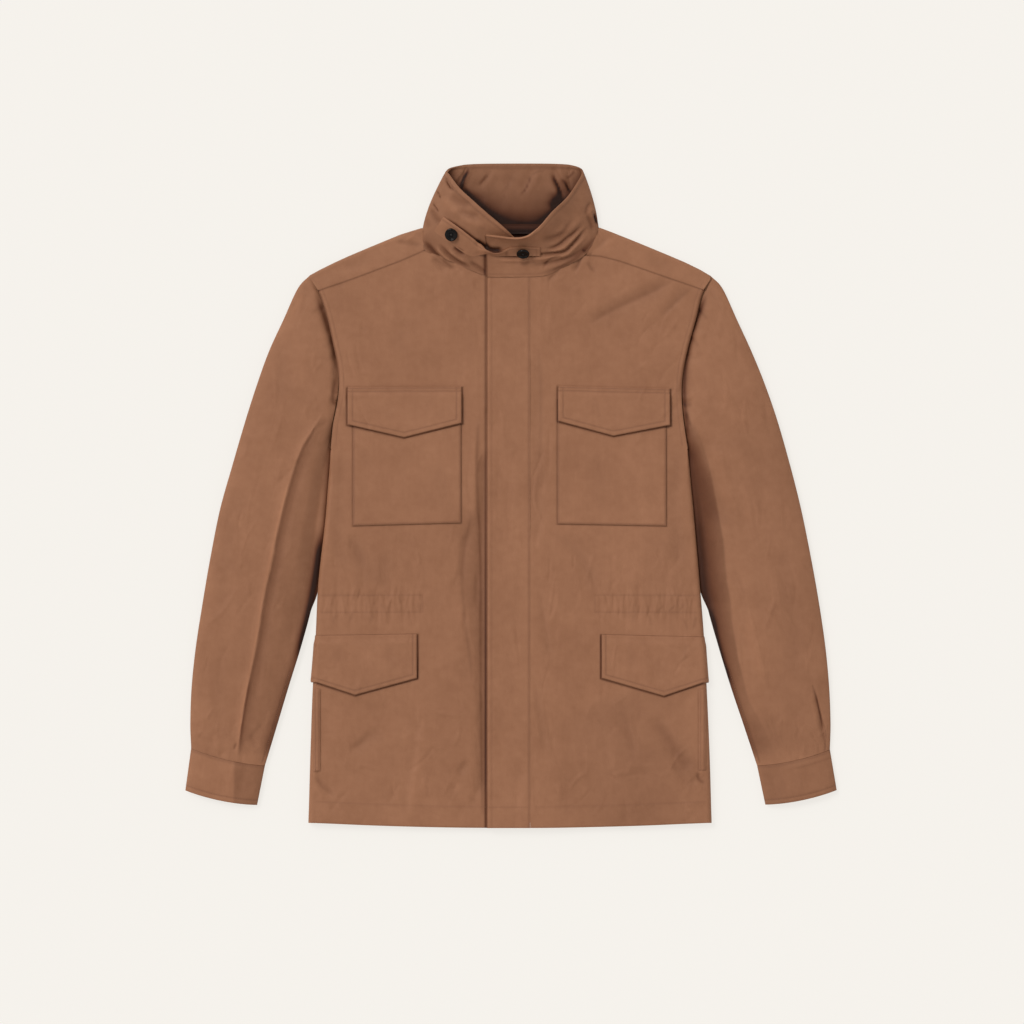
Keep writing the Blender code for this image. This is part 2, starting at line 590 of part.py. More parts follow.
def make_cuff(side):
    """A cuff band, a little proud of the sleeve."""
    around = np.linspace(0, 2 * math.pi, RING_POINTS + 1)[:-1]
    rows = SLEEVE[side]
    end = CUFF_END[side]
    start_outer = np.array([rows["outer_out"][-1], rows["outer_y"][-1]])
    start_inner = np.array([rows["inner_out"][-1], rows["inner_y"][-1]])
    end_outer = np.array([end["outer_out"][0], end["outer_y"][0]])
    end_inner = np.array([end["inner_out"][0], end["inner_y"][0]])
    share = (1 - np.cos(around)) / 2
    bow = np.column_stack([0 * share, -CUFF_BOW * 4 * share * (1 - share)])
    length = np.linalg.norm(end_outer - start_outer)
    rings = []
    for part in (SEAM_GAP / length, 0.5, 1.0):
        outer = start_outer + (end_outer - start_outer) * part
        inner = start_inner + (end_inner - start_inner) * part
        rings.append(ring(outer, inner, bow, CUFF_HEIGHT, around, SLEEVE_FOLDS[side]))
    return cloth("cuff_" + side, mirrored(side, np.stack(rings)), CUFF_WALL,
                 flip=side == "right", closed=True)


def make_placket():
    """The fly strip over both front edges."""
    x = np.linspace(PLACKET_LEFT_X, PLACKET_RIGHT_X, 4)
    y = np.linspace(HEM_Y, PLACKET_TOP_Y - SEAM_GAP, 8)
    across, along = np.meshgrid(x, y)
    return cloth("placket", places(across, along, LEVEL_CENTRE + LAY_GAP + PLACKET_WALL), PLACKET_WALL)


def patch(name, side, corners, lift, wall, tuck=0.0, wrap=False):
    """A piece that lies on a front, made from the front's own points moved out by lift. tuck lowers
    its top edge where nothing lies under it, and wrap carries it on to the outside of the fold."""
    first, last = corners["out"][0], corners["out"][-1]
    columns = np.union1d(np.linspace(first, last, PATCH_COLUMNS), corners["out"])
    top = np.interp(columns, corners["out"], corners["top"])
    low = np.interp(columns, corners["out"], corners["low"])
    y = low + (top - low) * np.linspace(0, 1, PATCH_ROWS)[:, None]
    out = np.broadcast_to(columns, y.shape)
    if wrap:
        start = edge_out(side, y[:, -1:]) - fold_depth(y[:, -1:])
        out = first + (start - first) * (out - first) / (last - first)
        turn = start + fold_depth(y[:, -1:]) * np.sin(np.radians(WRAP_ANGLES))
        out = np.concatenate([out, turn], axis=1)
        y = np.concatenate([y, np.repeat(y[:, -1:], len(WRAP_ANGLES), axis=1)], axis=1)
        top = np.append(top, [top[-1]] * len(WRAP_ANGLES))
    points = front_points(side, out, y)
    normal = front_points(side, out, y, 1.0) - points
    height = lift + wall - tuck * ease((y - top + TUCK_DEPTH) / TUCK_FADE)
    return cloth(name, points + normal * height[..., None], wall, flip=side == "right")


def make_collar():
    """The collar: one strip through its base, knee and top lines (a parabola across them), with its
    upper end over its under end."""
    rows = COLLAR
    count = len(rows["base_x"])
    station = np.arange(count, dtype=float)
    at = np.linspace(0, count - 1, COLLAR_COLUMNS)
    across = np.linspace(0, 1, COLLAR_ROWS)
    lines = {}
    for line in ("base", "knee", "top"):
        lines[line] = np.stack([smooth(station, rows[line + axis], at) for axis in ("_x", "_y", "_z")],
                               axis=-1)
    grid = []
    for t in across:
        base_part = (t - COLLAR_KNEE) * (t - 1) / COLLAR_KNEE
        knee_part = t * (t - 1) / (COLLAR_KNEE * (COLLAR_KNEE - 1))
        top_part = t * (t - COLLAR_KNEE) / (1 - COLLAR_KNEE)
        grid.append(lines["base"] * base_part + lines["knee"] * knee_part + lines["top"] * top_part)
    grid = np.stack(grid)
    grid[..., 2] = np.maximum(grid[..., 2], 0)
    return cloth("collar", grid, COLLAR_WALL, flip=True)


def make_strap():
    """The throat strap, over the collar's two ends."""
    rows = STRAP
    station = np.arange(len(rows["upper_x"]), dtype=float)
    at = np.linspace(0, station[-1], STRAP_COLUMNS)
    edges = []
    for edge in ("lower", "upper"):
        edges.append(np.stack([smooth(station, rows[edge + axis], at) for axis in ("_x", "_y", "_z")],
                              axis=-1))
    lower, upper = edges
    grid = [lower + (upper - lower) * t for t in np.linspace(0, 1, STRAP_ROWS)]
    return cloth("throat_strap", np.stack(grid), STRAP_WALL)


def make_neck_tape():
    """The tape inside the back neck, over the collar's lower edge."""
    across, along = np.meshgrid(np.linspace(-NECK_TAPE_HALF, NECK_TAPE_HALF, 9),
                                (NECK_TAPE_LOW, NECK_TAPE_HIGH))
    level = COLLAR_WALL + LAY_GAP + NECK_TAPE_WALL
    return cloth("neck_tape", places(across, along, level), NECK_TAPE_WALL)


def make_button(name, seat, lean):
    """A turned button: flat back, round rim and a dished face."""
    profile = BUTTON_PROFILE
    turns = BUTTON_TURNS
    points = [(0.0, 0.0, 0.0)]
    for radius, rise in profile[1:-1]:
        for k in range(turns):
            angle = 2 * math.pi * k / turns
            points.append((BUTTON_RADIUS * radius * math.cos(angle),
                           BUTTON_RADIUS * radius * math.sin(angle), BUTTON_THICKNESS * rise))
    points.append((0.0, 0.0, BUTTON_THICKNESS * profile[-1][1]))
    faces = []
    for k in range(turns):
        after = (k + 1) % turns
        faces.append([0, 1 + after, 1 + k])
        for level in range(len(profile) - 3):
            low = 1 + level * turns
            high = low + turns
            faces.append([low + k, low + after, high + after, high + k])
        last = 1 + (len(profile) - 3) * turns
        faces.append([last + k, last + after, len(points) - 1])
    thing = add_mesh(name, points, faces, BUTTON_BLACK, 0.18)
    thing.location = Vector(seat) * MM
    thing.rotation_euler = [math.radians(angle) for angle in lean]
    return thing


def main():
    clear_scene()
    make_back()
    for side in SIDES:
        make_front(side)
        make_sleeve(side)
        make_cuff(side)
        patch("chest_pocket_" + side, side, CHEST_POCKET[side], LAY_GAP, POCKET_WALL)
        patch("chest_flap_" + side, side, CHEST_FLAP[side], 2 * LAY_GAP + POCKET_WALL, FLAP_WALL,
              tuck=LAY_GAP + POCKET_WALL)
        patch("hip_flap_" + side, side, HIP_FLAP[side], LAY_GAP, FLAP_WALL, wrap=True)
        patch("welt_" + side, side, WELT[side], LAY_GAP, POCKET_WALL)
    make_placket()
    make_collar()
    make_neck_tape()
    make_strap()
    for name, row in BUTTONS.items():
        make_button(name, row["seat"], row["lean"])


main()
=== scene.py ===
"""The looks of a field jacket that lies flat on its back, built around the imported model.

Frame: +X points to the wearer's left, +Y from the hem to the collar, +Z up from the floor. Tables
are in millimetres, and "out" is the distance from the centre line. Every cloth piece is a surface of
two parameters, worked out on a grid, with a wall that grows inwards from it.
"""
import math

import bpy
import numpy as np
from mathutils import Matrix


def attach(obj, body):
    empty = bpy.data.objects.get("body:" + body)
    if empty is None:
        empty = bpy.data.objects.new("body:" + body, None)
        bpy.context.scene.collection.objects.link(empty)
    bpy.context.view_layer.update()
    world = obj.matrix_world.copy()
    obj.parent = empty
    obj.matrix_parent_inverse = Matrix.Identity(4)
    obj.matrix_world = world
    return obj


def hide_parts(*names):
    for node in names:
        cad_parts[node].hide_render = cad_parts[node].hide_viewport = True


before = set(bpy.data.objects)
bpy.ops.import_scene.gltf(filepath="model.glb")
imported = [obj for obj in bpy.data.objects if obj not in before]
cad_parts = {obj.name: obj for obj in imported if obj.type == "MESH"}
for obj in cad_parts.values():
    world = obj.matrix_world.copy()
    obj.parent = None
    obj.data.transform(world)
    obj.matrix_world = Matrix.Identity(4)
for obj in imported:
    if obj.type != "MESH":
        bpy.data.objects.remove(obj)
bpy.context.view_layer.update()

MM = 0.001

# Walls and gaps of the pieces
BODY_WALL = 1.8
BACK_WALL = 1.6
SLEEVE_WALL = 1.8
CUFF_WALL = 2.4
COLLAR_WALL = 2.4
PLACKET_WALL = 2.4
POCKET_WALL = 1.2
FLAP_WALL = 1.6
STRAP_WALL = 2.0
TAPE_WALL = 1.0
SEAM_GAP = 0.12
HIDDEN_GAP = 1.0
NECK_CORNER_LAP = 1.9
ARMHOLE_GAP = 0.25
SIDE_LAP = 0.7
UNDER_SEAM_SHIFT = 2.0
LAY_GAP = 0.4

# Levels of the body and roundness of its folds
LEVEL_CENTRE = 10.0
LEVEL_SIDE = 11.4
LEVEL_RISE_FROM = 90.0
LEVEL_RISE_OVER = 125.0
OVERLAP_END = 105.0
OVERLAP_FADE = 80.0
CALM_AT_SIDE = 18.0
TUCK_DEPTH = 12.0
TUCK_FADE = 8.0
SHOULDER_THICKNESS = 9.0
SHOULDER_FOLD = 4.5
SIDE_FOLD_AT_PIT = 1.2
SIDE_FOLD = 5.5
SEAM_UNDER_AT_PIT = 8.0
SEAM_UNDER = 13.0
FOLD_GROWTH = 45.0
FOLD_SHARE = 0.45
ARCH_POWER = 3
BASE_POWER = 9
RING_CALM = 0.2

PIT_Y = 55.5
WAIST_Y = -131.8
SHAPED_FROM_Y = 95.0
HEM_Y = -405.6
BACK_HEM_LIFT = 6.0
PLACKET_LEFT_X = -29.3
PLACKET_RIGHT_X = 23.2
PLACKET_TOP_Y = 267.2
CUFF_HEIGHT = 11.1
CUFF_BOW = 3.6
ARMHOLE_FADE_RINGS = 7
CUFF_BOW_FROM = 9
COLLAR_KNEE = 0.36
BUTTON_RADIUS = 7.9
BUTTON_THICKNESS = 3.2

SIDES = {"left": 1, "right": -1}


def table(text):
    """A table from text: each column's name and its numbers, and a semicolon between columns."""
    columns = (column.split() for column in text.split(";"))
    return {name: np.array(numbers, float) for name, *numbers in columns}


def strokes(text):
    """Creases or dark strokes from text, with a semicolon between them. Each is its rise (a trough is
    negative) or its strength, its width on the line's left and right, and the line's points."""
    rows = (np.array(row.split(), float) for row in text.split(";"))
    return tuple((*row[:3], row[3:].reshape(-1, 2)) for row in rows)


# Silhouette of the body under the armpit, and the hem
BODY_EDGE = {"left": table("""
    y -405.6 -386 -323 -237 -170 -109 -30 55.5;
    out 245.2 244.6 242.8 239.1 235.5 230.6 223.9 215.9
"""), "right": table("""
    y -405.6 -386 -323 -237 -170 -109 -30 55.5;
    out 247.7 247 245.2 242.2 238.5 235.5 226.9 220.2
""")}
HEM = table("out -14 60 158 232 250; y -405.6 -405.3 -402.8 -399.6 -399")

# Armhole seam on the front, from the armpit to the shoulder tip
ARMHOLE = {"left": table("""
    y 55.5 87 112 138.5 157 187 216.5 244.6 268.4;
    out 215.9 211.2 208.6 208.6 210.6 217.3 225.6 232.6 243.5
"""), "right": table("""
    y 55.5 87 112 138.5 157 187 216.5 244.6 269.2;
    out 220.2 217.2 212.3 209.8 211.1 217.2 223.9 233 245.2
""")}

# Top edge of each front, and the line where the back turns over the shoulder
NECK_SEAM = {
    "left": table("out 23.8 41.5 59.8 72 91.5; y 266.8 269 277.6 283.4 293.4"),
    "right": table("out -13.4 29.3 50 68.3 86.6 106.1; y 266.8 267.8 275.1 284.3 292.5 298.9"),
}
SHOULDER_SEAM = {
    "left": table("out 91.5 108.6 133 157.4 196.4 236; y 293.4 292.2 286.1 277.6 264.1 250.6"),
    "right": table("out 106.1 135.4 164.7 190.3 235.8; y 298.9 286.1 275.1 265.4 249.8"),
}
SHOULDER_FOLD_LINE = {"left": table("""
    out 108.6 120.8 157.4 194 212.3 230.6 243.5;
    y 327.4 322.6 307.9 292.7 284.9 276 268.4
"""), "right": table("""
    out 109.8 135.4 172 198.9 214.7 233 245.2;
    y 326.8 318.6 303.5 292.1 284.9 275.9 269.2
""")}
BACK_NECK_Y = 320.9
BACK_NECK_RISE = 2.0

# Seeds of the slow unevenness of the fronts and sleeves, and of the narrow gathers
FRONT_SEED = {"left": 3, "right": 8}
SLEEVE_SEED = {"left": 12, "right": 17}
GATHER_SEED = {"left": 31, "right": 57}

# Waist gathers: each column of numbers is one trough, and "above" and "below" say how far it runs
# from the drawcord casing
GATHERS = {"left": table("""
    out 109 124 140 156 172 189 205 221;
    width 4 4.5 4 5 4.2 4.8 4.2 4.6;
    depth 1.3 1.8 1.4 1.9 1.5 1.8 1.4 1.7;
    above 22 30 18 32 24 28 20 26;
    below 26 20 30 24 18 30 24 20
"""), "right": table("""
    out 116 131 147 163 180 196 212 227;
    width 4.2 4.6 4 4.8 4.4 4.2 4.8 4.2;
    depth 1.4 1.7 1.5 1.9 1.5 1.7 1.8 1.4;
    above 24 20 30 24 32 20 28 18;
    below 20 28 22 30 18 26 24 20
""")}

# Sleeve stations from the armhole to the cuff seam: outer fold, inner fold and height of the top
SLEEVE = {"left": table("""
    outer_out 243.5 258.2 276 293 309 325 341 354.5 367 376.5 384 388.5 390.2 389.4;
    outer_y 268.4 252.6 214 177 138 92 36 -18 -80 -134 -186 -234 -278 -310;
    inner_out 217.4 217.9 218.6 219.4 220.2 221.6 223.6 226.6 231.2 239 252.5 267.8 284.6 300.4;
    inner_y 55.5 50.5 43 34 24 10 -12 -42 -88 -133 -182 -232 -282 -329.6;
    height 10.5 12.5 14.5 15.5 16 16 15.5 15 15 14.5 14 13 12 10.5
"""), "right": table("""
    outer_out 245.2 260.2 278 295 309.2 324 340.4 355.5 367.8 377 385 390 391.6 390.6;
    outer_y 269.2 252.8 214 177 138 92 36 -18 -80 -134 -186 -234 -278 -308.5;
    inner_out 221.6 222 222.7 223.4 224.2 225.5 227.2 230.2 235.8 242.6 255.5 271 286 300.4;
    inner_y 55.5 50.5 43 34 24 10 -12 -42 -88 -133 -182 -232 -282 -329.6;
    height 10.5 12.5 14.5 15.5 16 16 15.5 15 15 14.5 14 13 12 10.5
""")}
CUFF_END = {"left": (397.7, -359.6, 310.5, -377.4), "right": (397.7, -360.0, 310.0, -377.8)}

# Inner side of the sleeve: the line where the cloth starts to fall towards the body, and by how much
SLEEVE_FALL = {"left": table("""
    y -269 -208 -127 -76 -5 36 80;
    out 281.5 268.5 258 257 247 236 224.5;
    drop 0.4 1.8 4.4 5.6 5.6 4 0.5
"""), "right": table("""
    y -300 -188 -121 -48 16 59 92;
    out 318 290 272 258 246 238 232;
    drop 0.5 2.4 3.8 4.6 4 2.4 0.3
""")}

# Patch pockets and flaps, as corners on the front
CHEST_POCKET = {
    "left": table("out 56.4 189.5; top 117.5 117; low -34.8 -37.2"),
    "right": table("out 60.8 193; top 117.5 117.5; low -33.5 -37.2"),
}
CHEST_FLAP = {
    "left": table("out 57.2 125 194; top 133.6 132 130.5; low 90.9 72.6 86"),
    "right": table("out 60.2 130.5 199.5; top 132.9 132.6 132.4; low 88.5 70.8 86.6"),
}
HIP_FLAP = {
    "left": table("out 110.5 186.7 233.5; top -169 -171 -172; low -222.7 -244.6 -228.5"),
    "right": table("out 114.7 190.3 236.7; top -168.4 -169.6 -170.2; low -222.7 -243.4 -228"),
}
WELT = {
    "left": table("out 229 237.4; top -236.5 -236.5; low -334.9 -334.9"),
    "right": table("out 232.8 240.4; top -236 -236; low -336.1 -336.1"),
}

# Collar strip, from its under end in front, round the back, to its upper end in front
COLLAR = table("""
    base_x 20 -4 -29.3 -57.6 -83.8 -105.6 -108.2 -98 -60 0 60 97 107.6 99.6 88 64.8 41.6 11 -29.6;
    base_y 270.4 269.8 268.3 278.6 291 299.4 320 323.2 321.9 321.1 321.9 323.2 321 305.6 291.6 279
      268.4 266.6 266.6;
    base_z 9 9.2 10.9 10.9 10.9 10.6 6.4 0.5 0 0 0 0.5 6.4 10.7 11.4 12.3 13.5 13.7 14;
    knee_x 20 -5 -30 -60 -83.5 -97.8 -103 -92 -56 0 58 91.5 104 95 77 57 37 11 -30;
    knee_y 284 285 289.5 302 315 331.5 344.5 355 354 355 354 354 346 331 311 298.5 291.5 290.5 290.5;
    knee_z 11.4 13.2 16 18.5 17.5 14 7 0.6 0 0 0 0.6 7 15 18.5 20 21 21.5 22;
    top_x 20 -4.5 -26.8 -46 -63 -75 -78.8 -66 -44 4 56 78 88 83 70.5 51 32.5 11 -32;
    top_y 299 320 339.8 358 374.5 390.5 397.2 402.6 405 405.6 405.2 402.8 396 384 364 344 322.5
      310.5 315;
    top_z 20 38 37 33 26.5 18.5 9 1 0 0 0 1 9 18.5 29 38 44 46.5 41
""")

# Folds of the collar's outer face, and the hollow behind the strap's free edge
COLLAR_FOLDS = strokes("""
    -1.5 1.6 2.2  -27 291.2  11 291  37.8 293.5  63 297.1  71.2 302.8  79.3 311.7  87.4 320.7
       98 330;
    1.1 2.4 2.6  -25 287  11 286.6  40 289  66 293  76 301  88 312  98 322;
    -1.4 1.8 2.4  38.6 300.6  48.4 301.1  58.2 305.2  67.9 313.3  74.4 318.2  88.5 330.5;
    1.1 2.2 2.4  42 296.5  60 300  70 307  80 317  90 325;
    -1.1 2 3  22 279  43 283  67 289  84 298  98 311;
    0.8 3.5 3  30 274.5  50 278  70 285  90 297;
    -1.2 4 3  77 337  70 328  61 318  48 312.5  34 314;
    1 4 5  88 343  80 331  66 322  52 322;
    -0.8 1.8 2.6  98.6 359  93.5 350  91.5 340;
    -0.9 2 3  92 344  97.5 334  101 322;
    0.9 2.4 2.4  101 352  97.5 345  101 336;
    -1 1.4 2  37.8 274.3  43.5 284  50 289  64.7 292.2;
    -1.4 1.8 1.8  101 345  104 337  106 330;
    -1 1.2 1.4  -91.4 373  -88 367  -85 361;
    -1 1.2 1.6  -96.5 358.5  -92 351  -87 344;
    -1.5 2 2.6  -71 304  -64 298.5  -55 293.5;
    -1.5 2.4 3.4  -109 312  -99 303  -90 293  -78 284;
    -1.5 2 3  -88 308  -77 295  -63 285  -47 276;
    1.3 2.4 2.8  -92 305  -82 292.5  -68 283;
    1.2 2.4 2.8  -77 300  -66 291  -52 283;
    -1.2 2.4 3.2  -52 286  -39 278  -28 270;
    -1.2 1 1.3  -81 388  -76 377.5  -68.5 370;
    0.9 9 8  -70 352  -50 332  -30 318;
    -1.2 5 4  -76 368  -64 358  -48 349;
    1 5 5  -84 366  -72 350  -60 340;
    -1.1 4 4  -66 349  -52 342  -36 339;
    0.8 4 4  -58 338  -44 331  -30 326;
    -1.2 4 3  -100 352  -92 338  -84 330;
    0.7 8 7  60 345  40 322  15 305
""")
COLLAR_HOLLOW = strokes("""
    -1.4 2.4 1.6  -80 338  -62 326.5  -47 315  -37 308;
    -4.2 4.6 3.4  -44 309  -37 305.5  -31 302  -27 299;
    -3.2 3 2  -34 303  -24 299  -15 299  -9 301
""")

# Throat strap, from the wearer's right end: its free upper edge and its lower edge on the collar, each
# with its height over the collar's face
STRAP = table("""
    upper_x -82.5 -79.3 -62.2 -46.4 -37.8 -29.3 -19.5 -9 0 14.6 36;
    upper_y 339 337.3 325.1 312.9 305.6 298.6 295.4 297.4 301.2 301.5 301.4;
    upper_lift 1.4 2.4 3.2 3.6 4.2 4.6 4.6 3.2 1.8 1.8 1.8;
    lower_x -93.5 -90.5 -74 -57 -46.5 -32.5 -20.5 -8.5 0 15 36;
    lower_y 323.5 319.5 307.5 295.5 291.5 293.6 291.8 291.6 291.6 291.6 291.6;
    lower_lift 0.3 0.3 0.3 0.3 0.3 0.8 0.9 0.9 1.2 1.8 1.8
""")
NECK_TAPE_HALF = 62.0
NECK_TAPE_LOW = 319.6
NECK_TAPE_HIGH = 331.4
BUTTONS = {
    "button_strap": {"seat": (-72.6, 317.6, 24.1), "lean": (14, -10, 0)},
    "button_end": {"seat": (14.6, 294.8, 30.0), "lean": (54, 0, 0)},
}

# Folds and creases: rise (a trough is negative), the width on the line's left and right, the line
BODY_CREASES = {"left": strokes("""
    -0.9 11 11  196 262  95 206;
    -1.3 3.5 8  202 264  162 244  124 227  88 206;
    -1.6 3.5 7  222 256  200 235  180 215;
    -0.6 13 13  72 -40  108 -112;
    -0.7 4 7  46 -38  84 -72  106 -113;
    1.4 14 14  112 -300  140 -395;
    -1.2 5 9  112 -296  123 -341  138 -374  139 -402;
    -1.8 12 9  168 -268  194 -300  222 -348;
    1.2 9 9  186 -270  212 -312;
    -1.8 2.2 3  228 -336  230 -345  238 -352;
    1.4 3 3  231 -334  236 -342;
    -1 2.5 2.5  232 -356  240 -362;
    -1.2 3 5  196 -322  216 -350  229 -338;
    -1 3 6  35 -112  42 -160  49 -205;
    -0.9 6 4  29 -226  44 -324;
    -1 5 8  136 -258  153 -324;
    -0.5 3 6  92 -84  108 -124;
    -1.5 2.2 4  86 292  76 270;
    -1.2 2 3  95 288  104 270;
    -1 3 2  62 276  44 262;
    0.5 10 6  60 190  96 150;
    -0.8 8 12  28 180  34 60  30 -60;
    -0.8 6 10  206 70  200 -20  206 -90;
    0.9 9 9  160 -60  152 -110;
    -0.5 10 7  70 -330  60 -400;
    0.5 14 10  180 200  150 160
"""), "right": strokes("""
    -1.7 13 13  46 -10  50 -235;
    1.2 12 12  62 -120  44 -235;
    -2.3 8 6  33 60  35 -80  34 -200  33 -370;
    -1.4 4 6  46 -30  58 -62  61 -115;
    -1 3 4  41 -88  43 -140;
    0.9 4 4  44 82  45 -34;
    1.3 15 15  110 -268  125 -390;
    -1.4 8 5  110 -266  123 -341  130 -392;
    -1.2 12 12  196 -48  168 -112;
    -0.9 4 7  198 -44  178 -92;
    -1.5 5 9  156 -282  198 -314;
    -1.5 2.6 4  240 -338  230 -354  213 -369;
    1.2 4 3  243 -350  226 -372;
    1.2 3 3  236 -330  240 -340  242 -352;
    -1.4 4 6  52 -322  66 -342;
    -0.9 5 4  36 -345  49 -384;
    -1 3 3  222 262  202 254;
    -0.8 2.5 3  186 206  176 199;
    -1.5 3 4  98 290  78 272;
    -1.2 2 3  84 290  66 274;
    0.5 10 8  70 240  84 160;
    -0.5 10 14  120 230  150 170;
    -0.8 8 10  205 60  212 -40  205 -100;
    0.5 10 8  92 -60  96 -118;
    -0.8 9 7  150 -60  158 -118;
    0.6 12 9  200 -250  214 -330
""")}
SLEEVE_CREASES = {"left": strokes("""
    -2.6 13 13  226 74  258 -44;
    1.6 14 14  246 70  268 -20;
    1.8 12 12  290 -136  314 -238;
    0.8 3 5  287 -128  300 -180  315 -240;
    -2.6 6 4  236 246  226 214  217 178  213 140  216 96;
    -1.1 3 3  255 262  266 238;
    0.7 3 2  252 246  262 226;
    -0.9 3 4  243 256  250 236;
    0.9 3 5  222 88  234 52  246 8;
    -0.9 7 7  300 150  322 60;
    0.7 9 9  262 150  280 60  300 -40;
    -0.8 8 10  330 -60  344 -150  350 -220;
    -0.9 4 6  286 -292  302 -322;
    -0.7 5 4  318 -262  330 -316;
    -1.8 1.4 3  368.6 -231  374.6 -255  379.2 -277  381.5 -291  383.5 -311;
    1 3 2.5  364 -236  370.5 -262  375.5 -284;
    -1 2 3  206 118  213 113  222 117;
    1 2.5 2.5  208 124  215 120  226 125;
    -0.7 3 4  220 234  232 226  244 222;
    0.9 3 4  214 204  226 196  240 196;
    -1 3 4  212 176  222 168  236 172;
    0.6 6 5  262 -160  282 -240
"""), "right": strokes("""
    2.2 6 26  232 93  254 59  270 16  285 -48  300 -121  312 -188  323 -249  332 -318;
    1.3 1.8 2.2  226 104  254 59  269 16  285 -48  300 -121  308.5 -176  320.5 -235  331 -300
       334 -325;
    -1.2 2 3  204 116  213 114  222 119;
    1 2.5 2.5  206 123  214 121  224 126;
    -0.7 3 4  222 236  232 228  246 224;
    0.9 3 4  214 200  226 194  238 196;
    -1 3 4  212 172  222 166  234 168;
    -0.8 1.6 1.6  335 -301  338.5 -311;
    -1.2 3 3  318 -290  313 -300  306 -304;
    1 3 3  326 -300  316 -309  306 -314;
    -1.4 9 5  246 60  262 10  276 -48  291 -121  304 -188  316 -262;
    -2.6 4 6  238 246  227 214  217 178  214 140  219 100;
    -1 2.5 3  252 258  250 240;
    0.8 3 3  256 256  268 232;
    -0.9 10 12  276 196  282 120;
    0.8 9 9  252 190  254 118;
    -0.9 6 6  300 -276  322 -304;
    0.7 4 4  386 -270  385 -296;
    -0.7 10 12  330 20  346 -60  350 -150;
    0.6 10 10  300 90  318 20;
    -0.6 8 8  350 -170  358 -250  352 -300;
    -0.8 6 5  262 -80  276 -150
""")}
SHOULDER_CREASES = {"left": strokes("""
    -1 2.5 4  118 318  109 306  98 301;
    0.7 4 3  128 314  112 302;
    -0.5 8 6  200 280  160 292
"""), "right": strokes("""
    1.3 2.5 2.5  131 308  122 316  114 324;
    -1.3 2.5 3.5  144 311  126 308  106 304;
    -1 2.5 2.5  126 318  117 325;
    -0.5 6 8  205 276  170 290
""")}
POCKET_CREASES = {"left": strokes("""
    -0.5 8 10  100 60  112 -20;
    0.5 10 8  160 50  166 -30;
    -0.5 5 7  150 -4  158 -36
"""), "right": strokes("""
    -0.5 5 8  184 60  172 30;
    0.5 8 12  120 40  140 -20;
    -0.4 8 8  90 50  84 -20
""")}
CHEST_FLAP_CREASES = {"left": strokes("""
    -0.6 2.5 5  99 128  110 92;
    0.4 8 8  150 120  156 90
"""), "right": strokes("""
    -0.4 6 8  150 120  146 90;
    0.4 8 8  96 118  102 88
""")}
HIP_FLAP_CREASES = {"left": strokes("""
    -0.6 5 7  142 -178  150 -212;
    -0.5 4 5  176 -190  182 -232;
    0.5 6 6  160 -176  166 -224;
    -0.5 3 4  210 -178  214 -206
"""), "right": strokes("""
    -0.5 6 6  150 -178  142 -216;
    0.5 6 8  172 -184  166 -224;
    -0.5 3 5  196 -226  188 -242;
    -0.4 5 5  208 -178  216 -210
""")}
PLACKET_CREASES = strokes("""
    -0.5 6 8  -18 110  -14 10;
    0.4 8 6  8 60  4 -60;
    -0.6 10 6  14 -60  10 -170;
    -0.7 6 9  -22 -296  10 -284;
    -0.8 5 8  16 -322  4 -392;
    0.5 8 8  -8 -180  -12 -270;
    -0.4 7 7  -4 230  0 160
""")

# Creases inside the collar, in stations along the strip and shares across it
COLLAR_CREASES = strokes("""
    -1.7 0.1 0.05  7.72 0.99  7.66 0.8  7.5 0.58;
    1.3 0.08 0.08  7.95 0.98  7.86 0.78  7.7 0.56;
    -1 0.05 0.1  8.1 0.76  8.3 0.58  8.5 0.4;
    -1.1 0.1 0.05  8.52 0.9  8.38 0.74  8.24 0.6;
    0.8 0.08 0.08  8.64 0.9  8.5 0.74  8.36 0.6;
    -1.3 0.05 0.1  9.46 0.97  9.38 0.8  9.2 0.5;
    1 0.08 0.08  9.6 0.94  9.5 0.76  9.32 0.48;
    -0.8 0.06 0.08  9.05 0.9  8.95 0.76  8.85 0.6;
    -1.9 0.05 0.12  9.84 0.98  10.02 0.8  10.16 0.56  10.12 0.42;
    1.4 0.08 0.08  10 0.96  10.18 0.78  10.3 0.56;
    -1.1 0.06 0.08  10.36 0.92  10.46 0.74  10.44 0.58;
    -1 0.06 0.06  10.62 0.98  10.5 0.84;
    0.7 0.2 0.2  8.8 0.4  9.3 0.2
""")

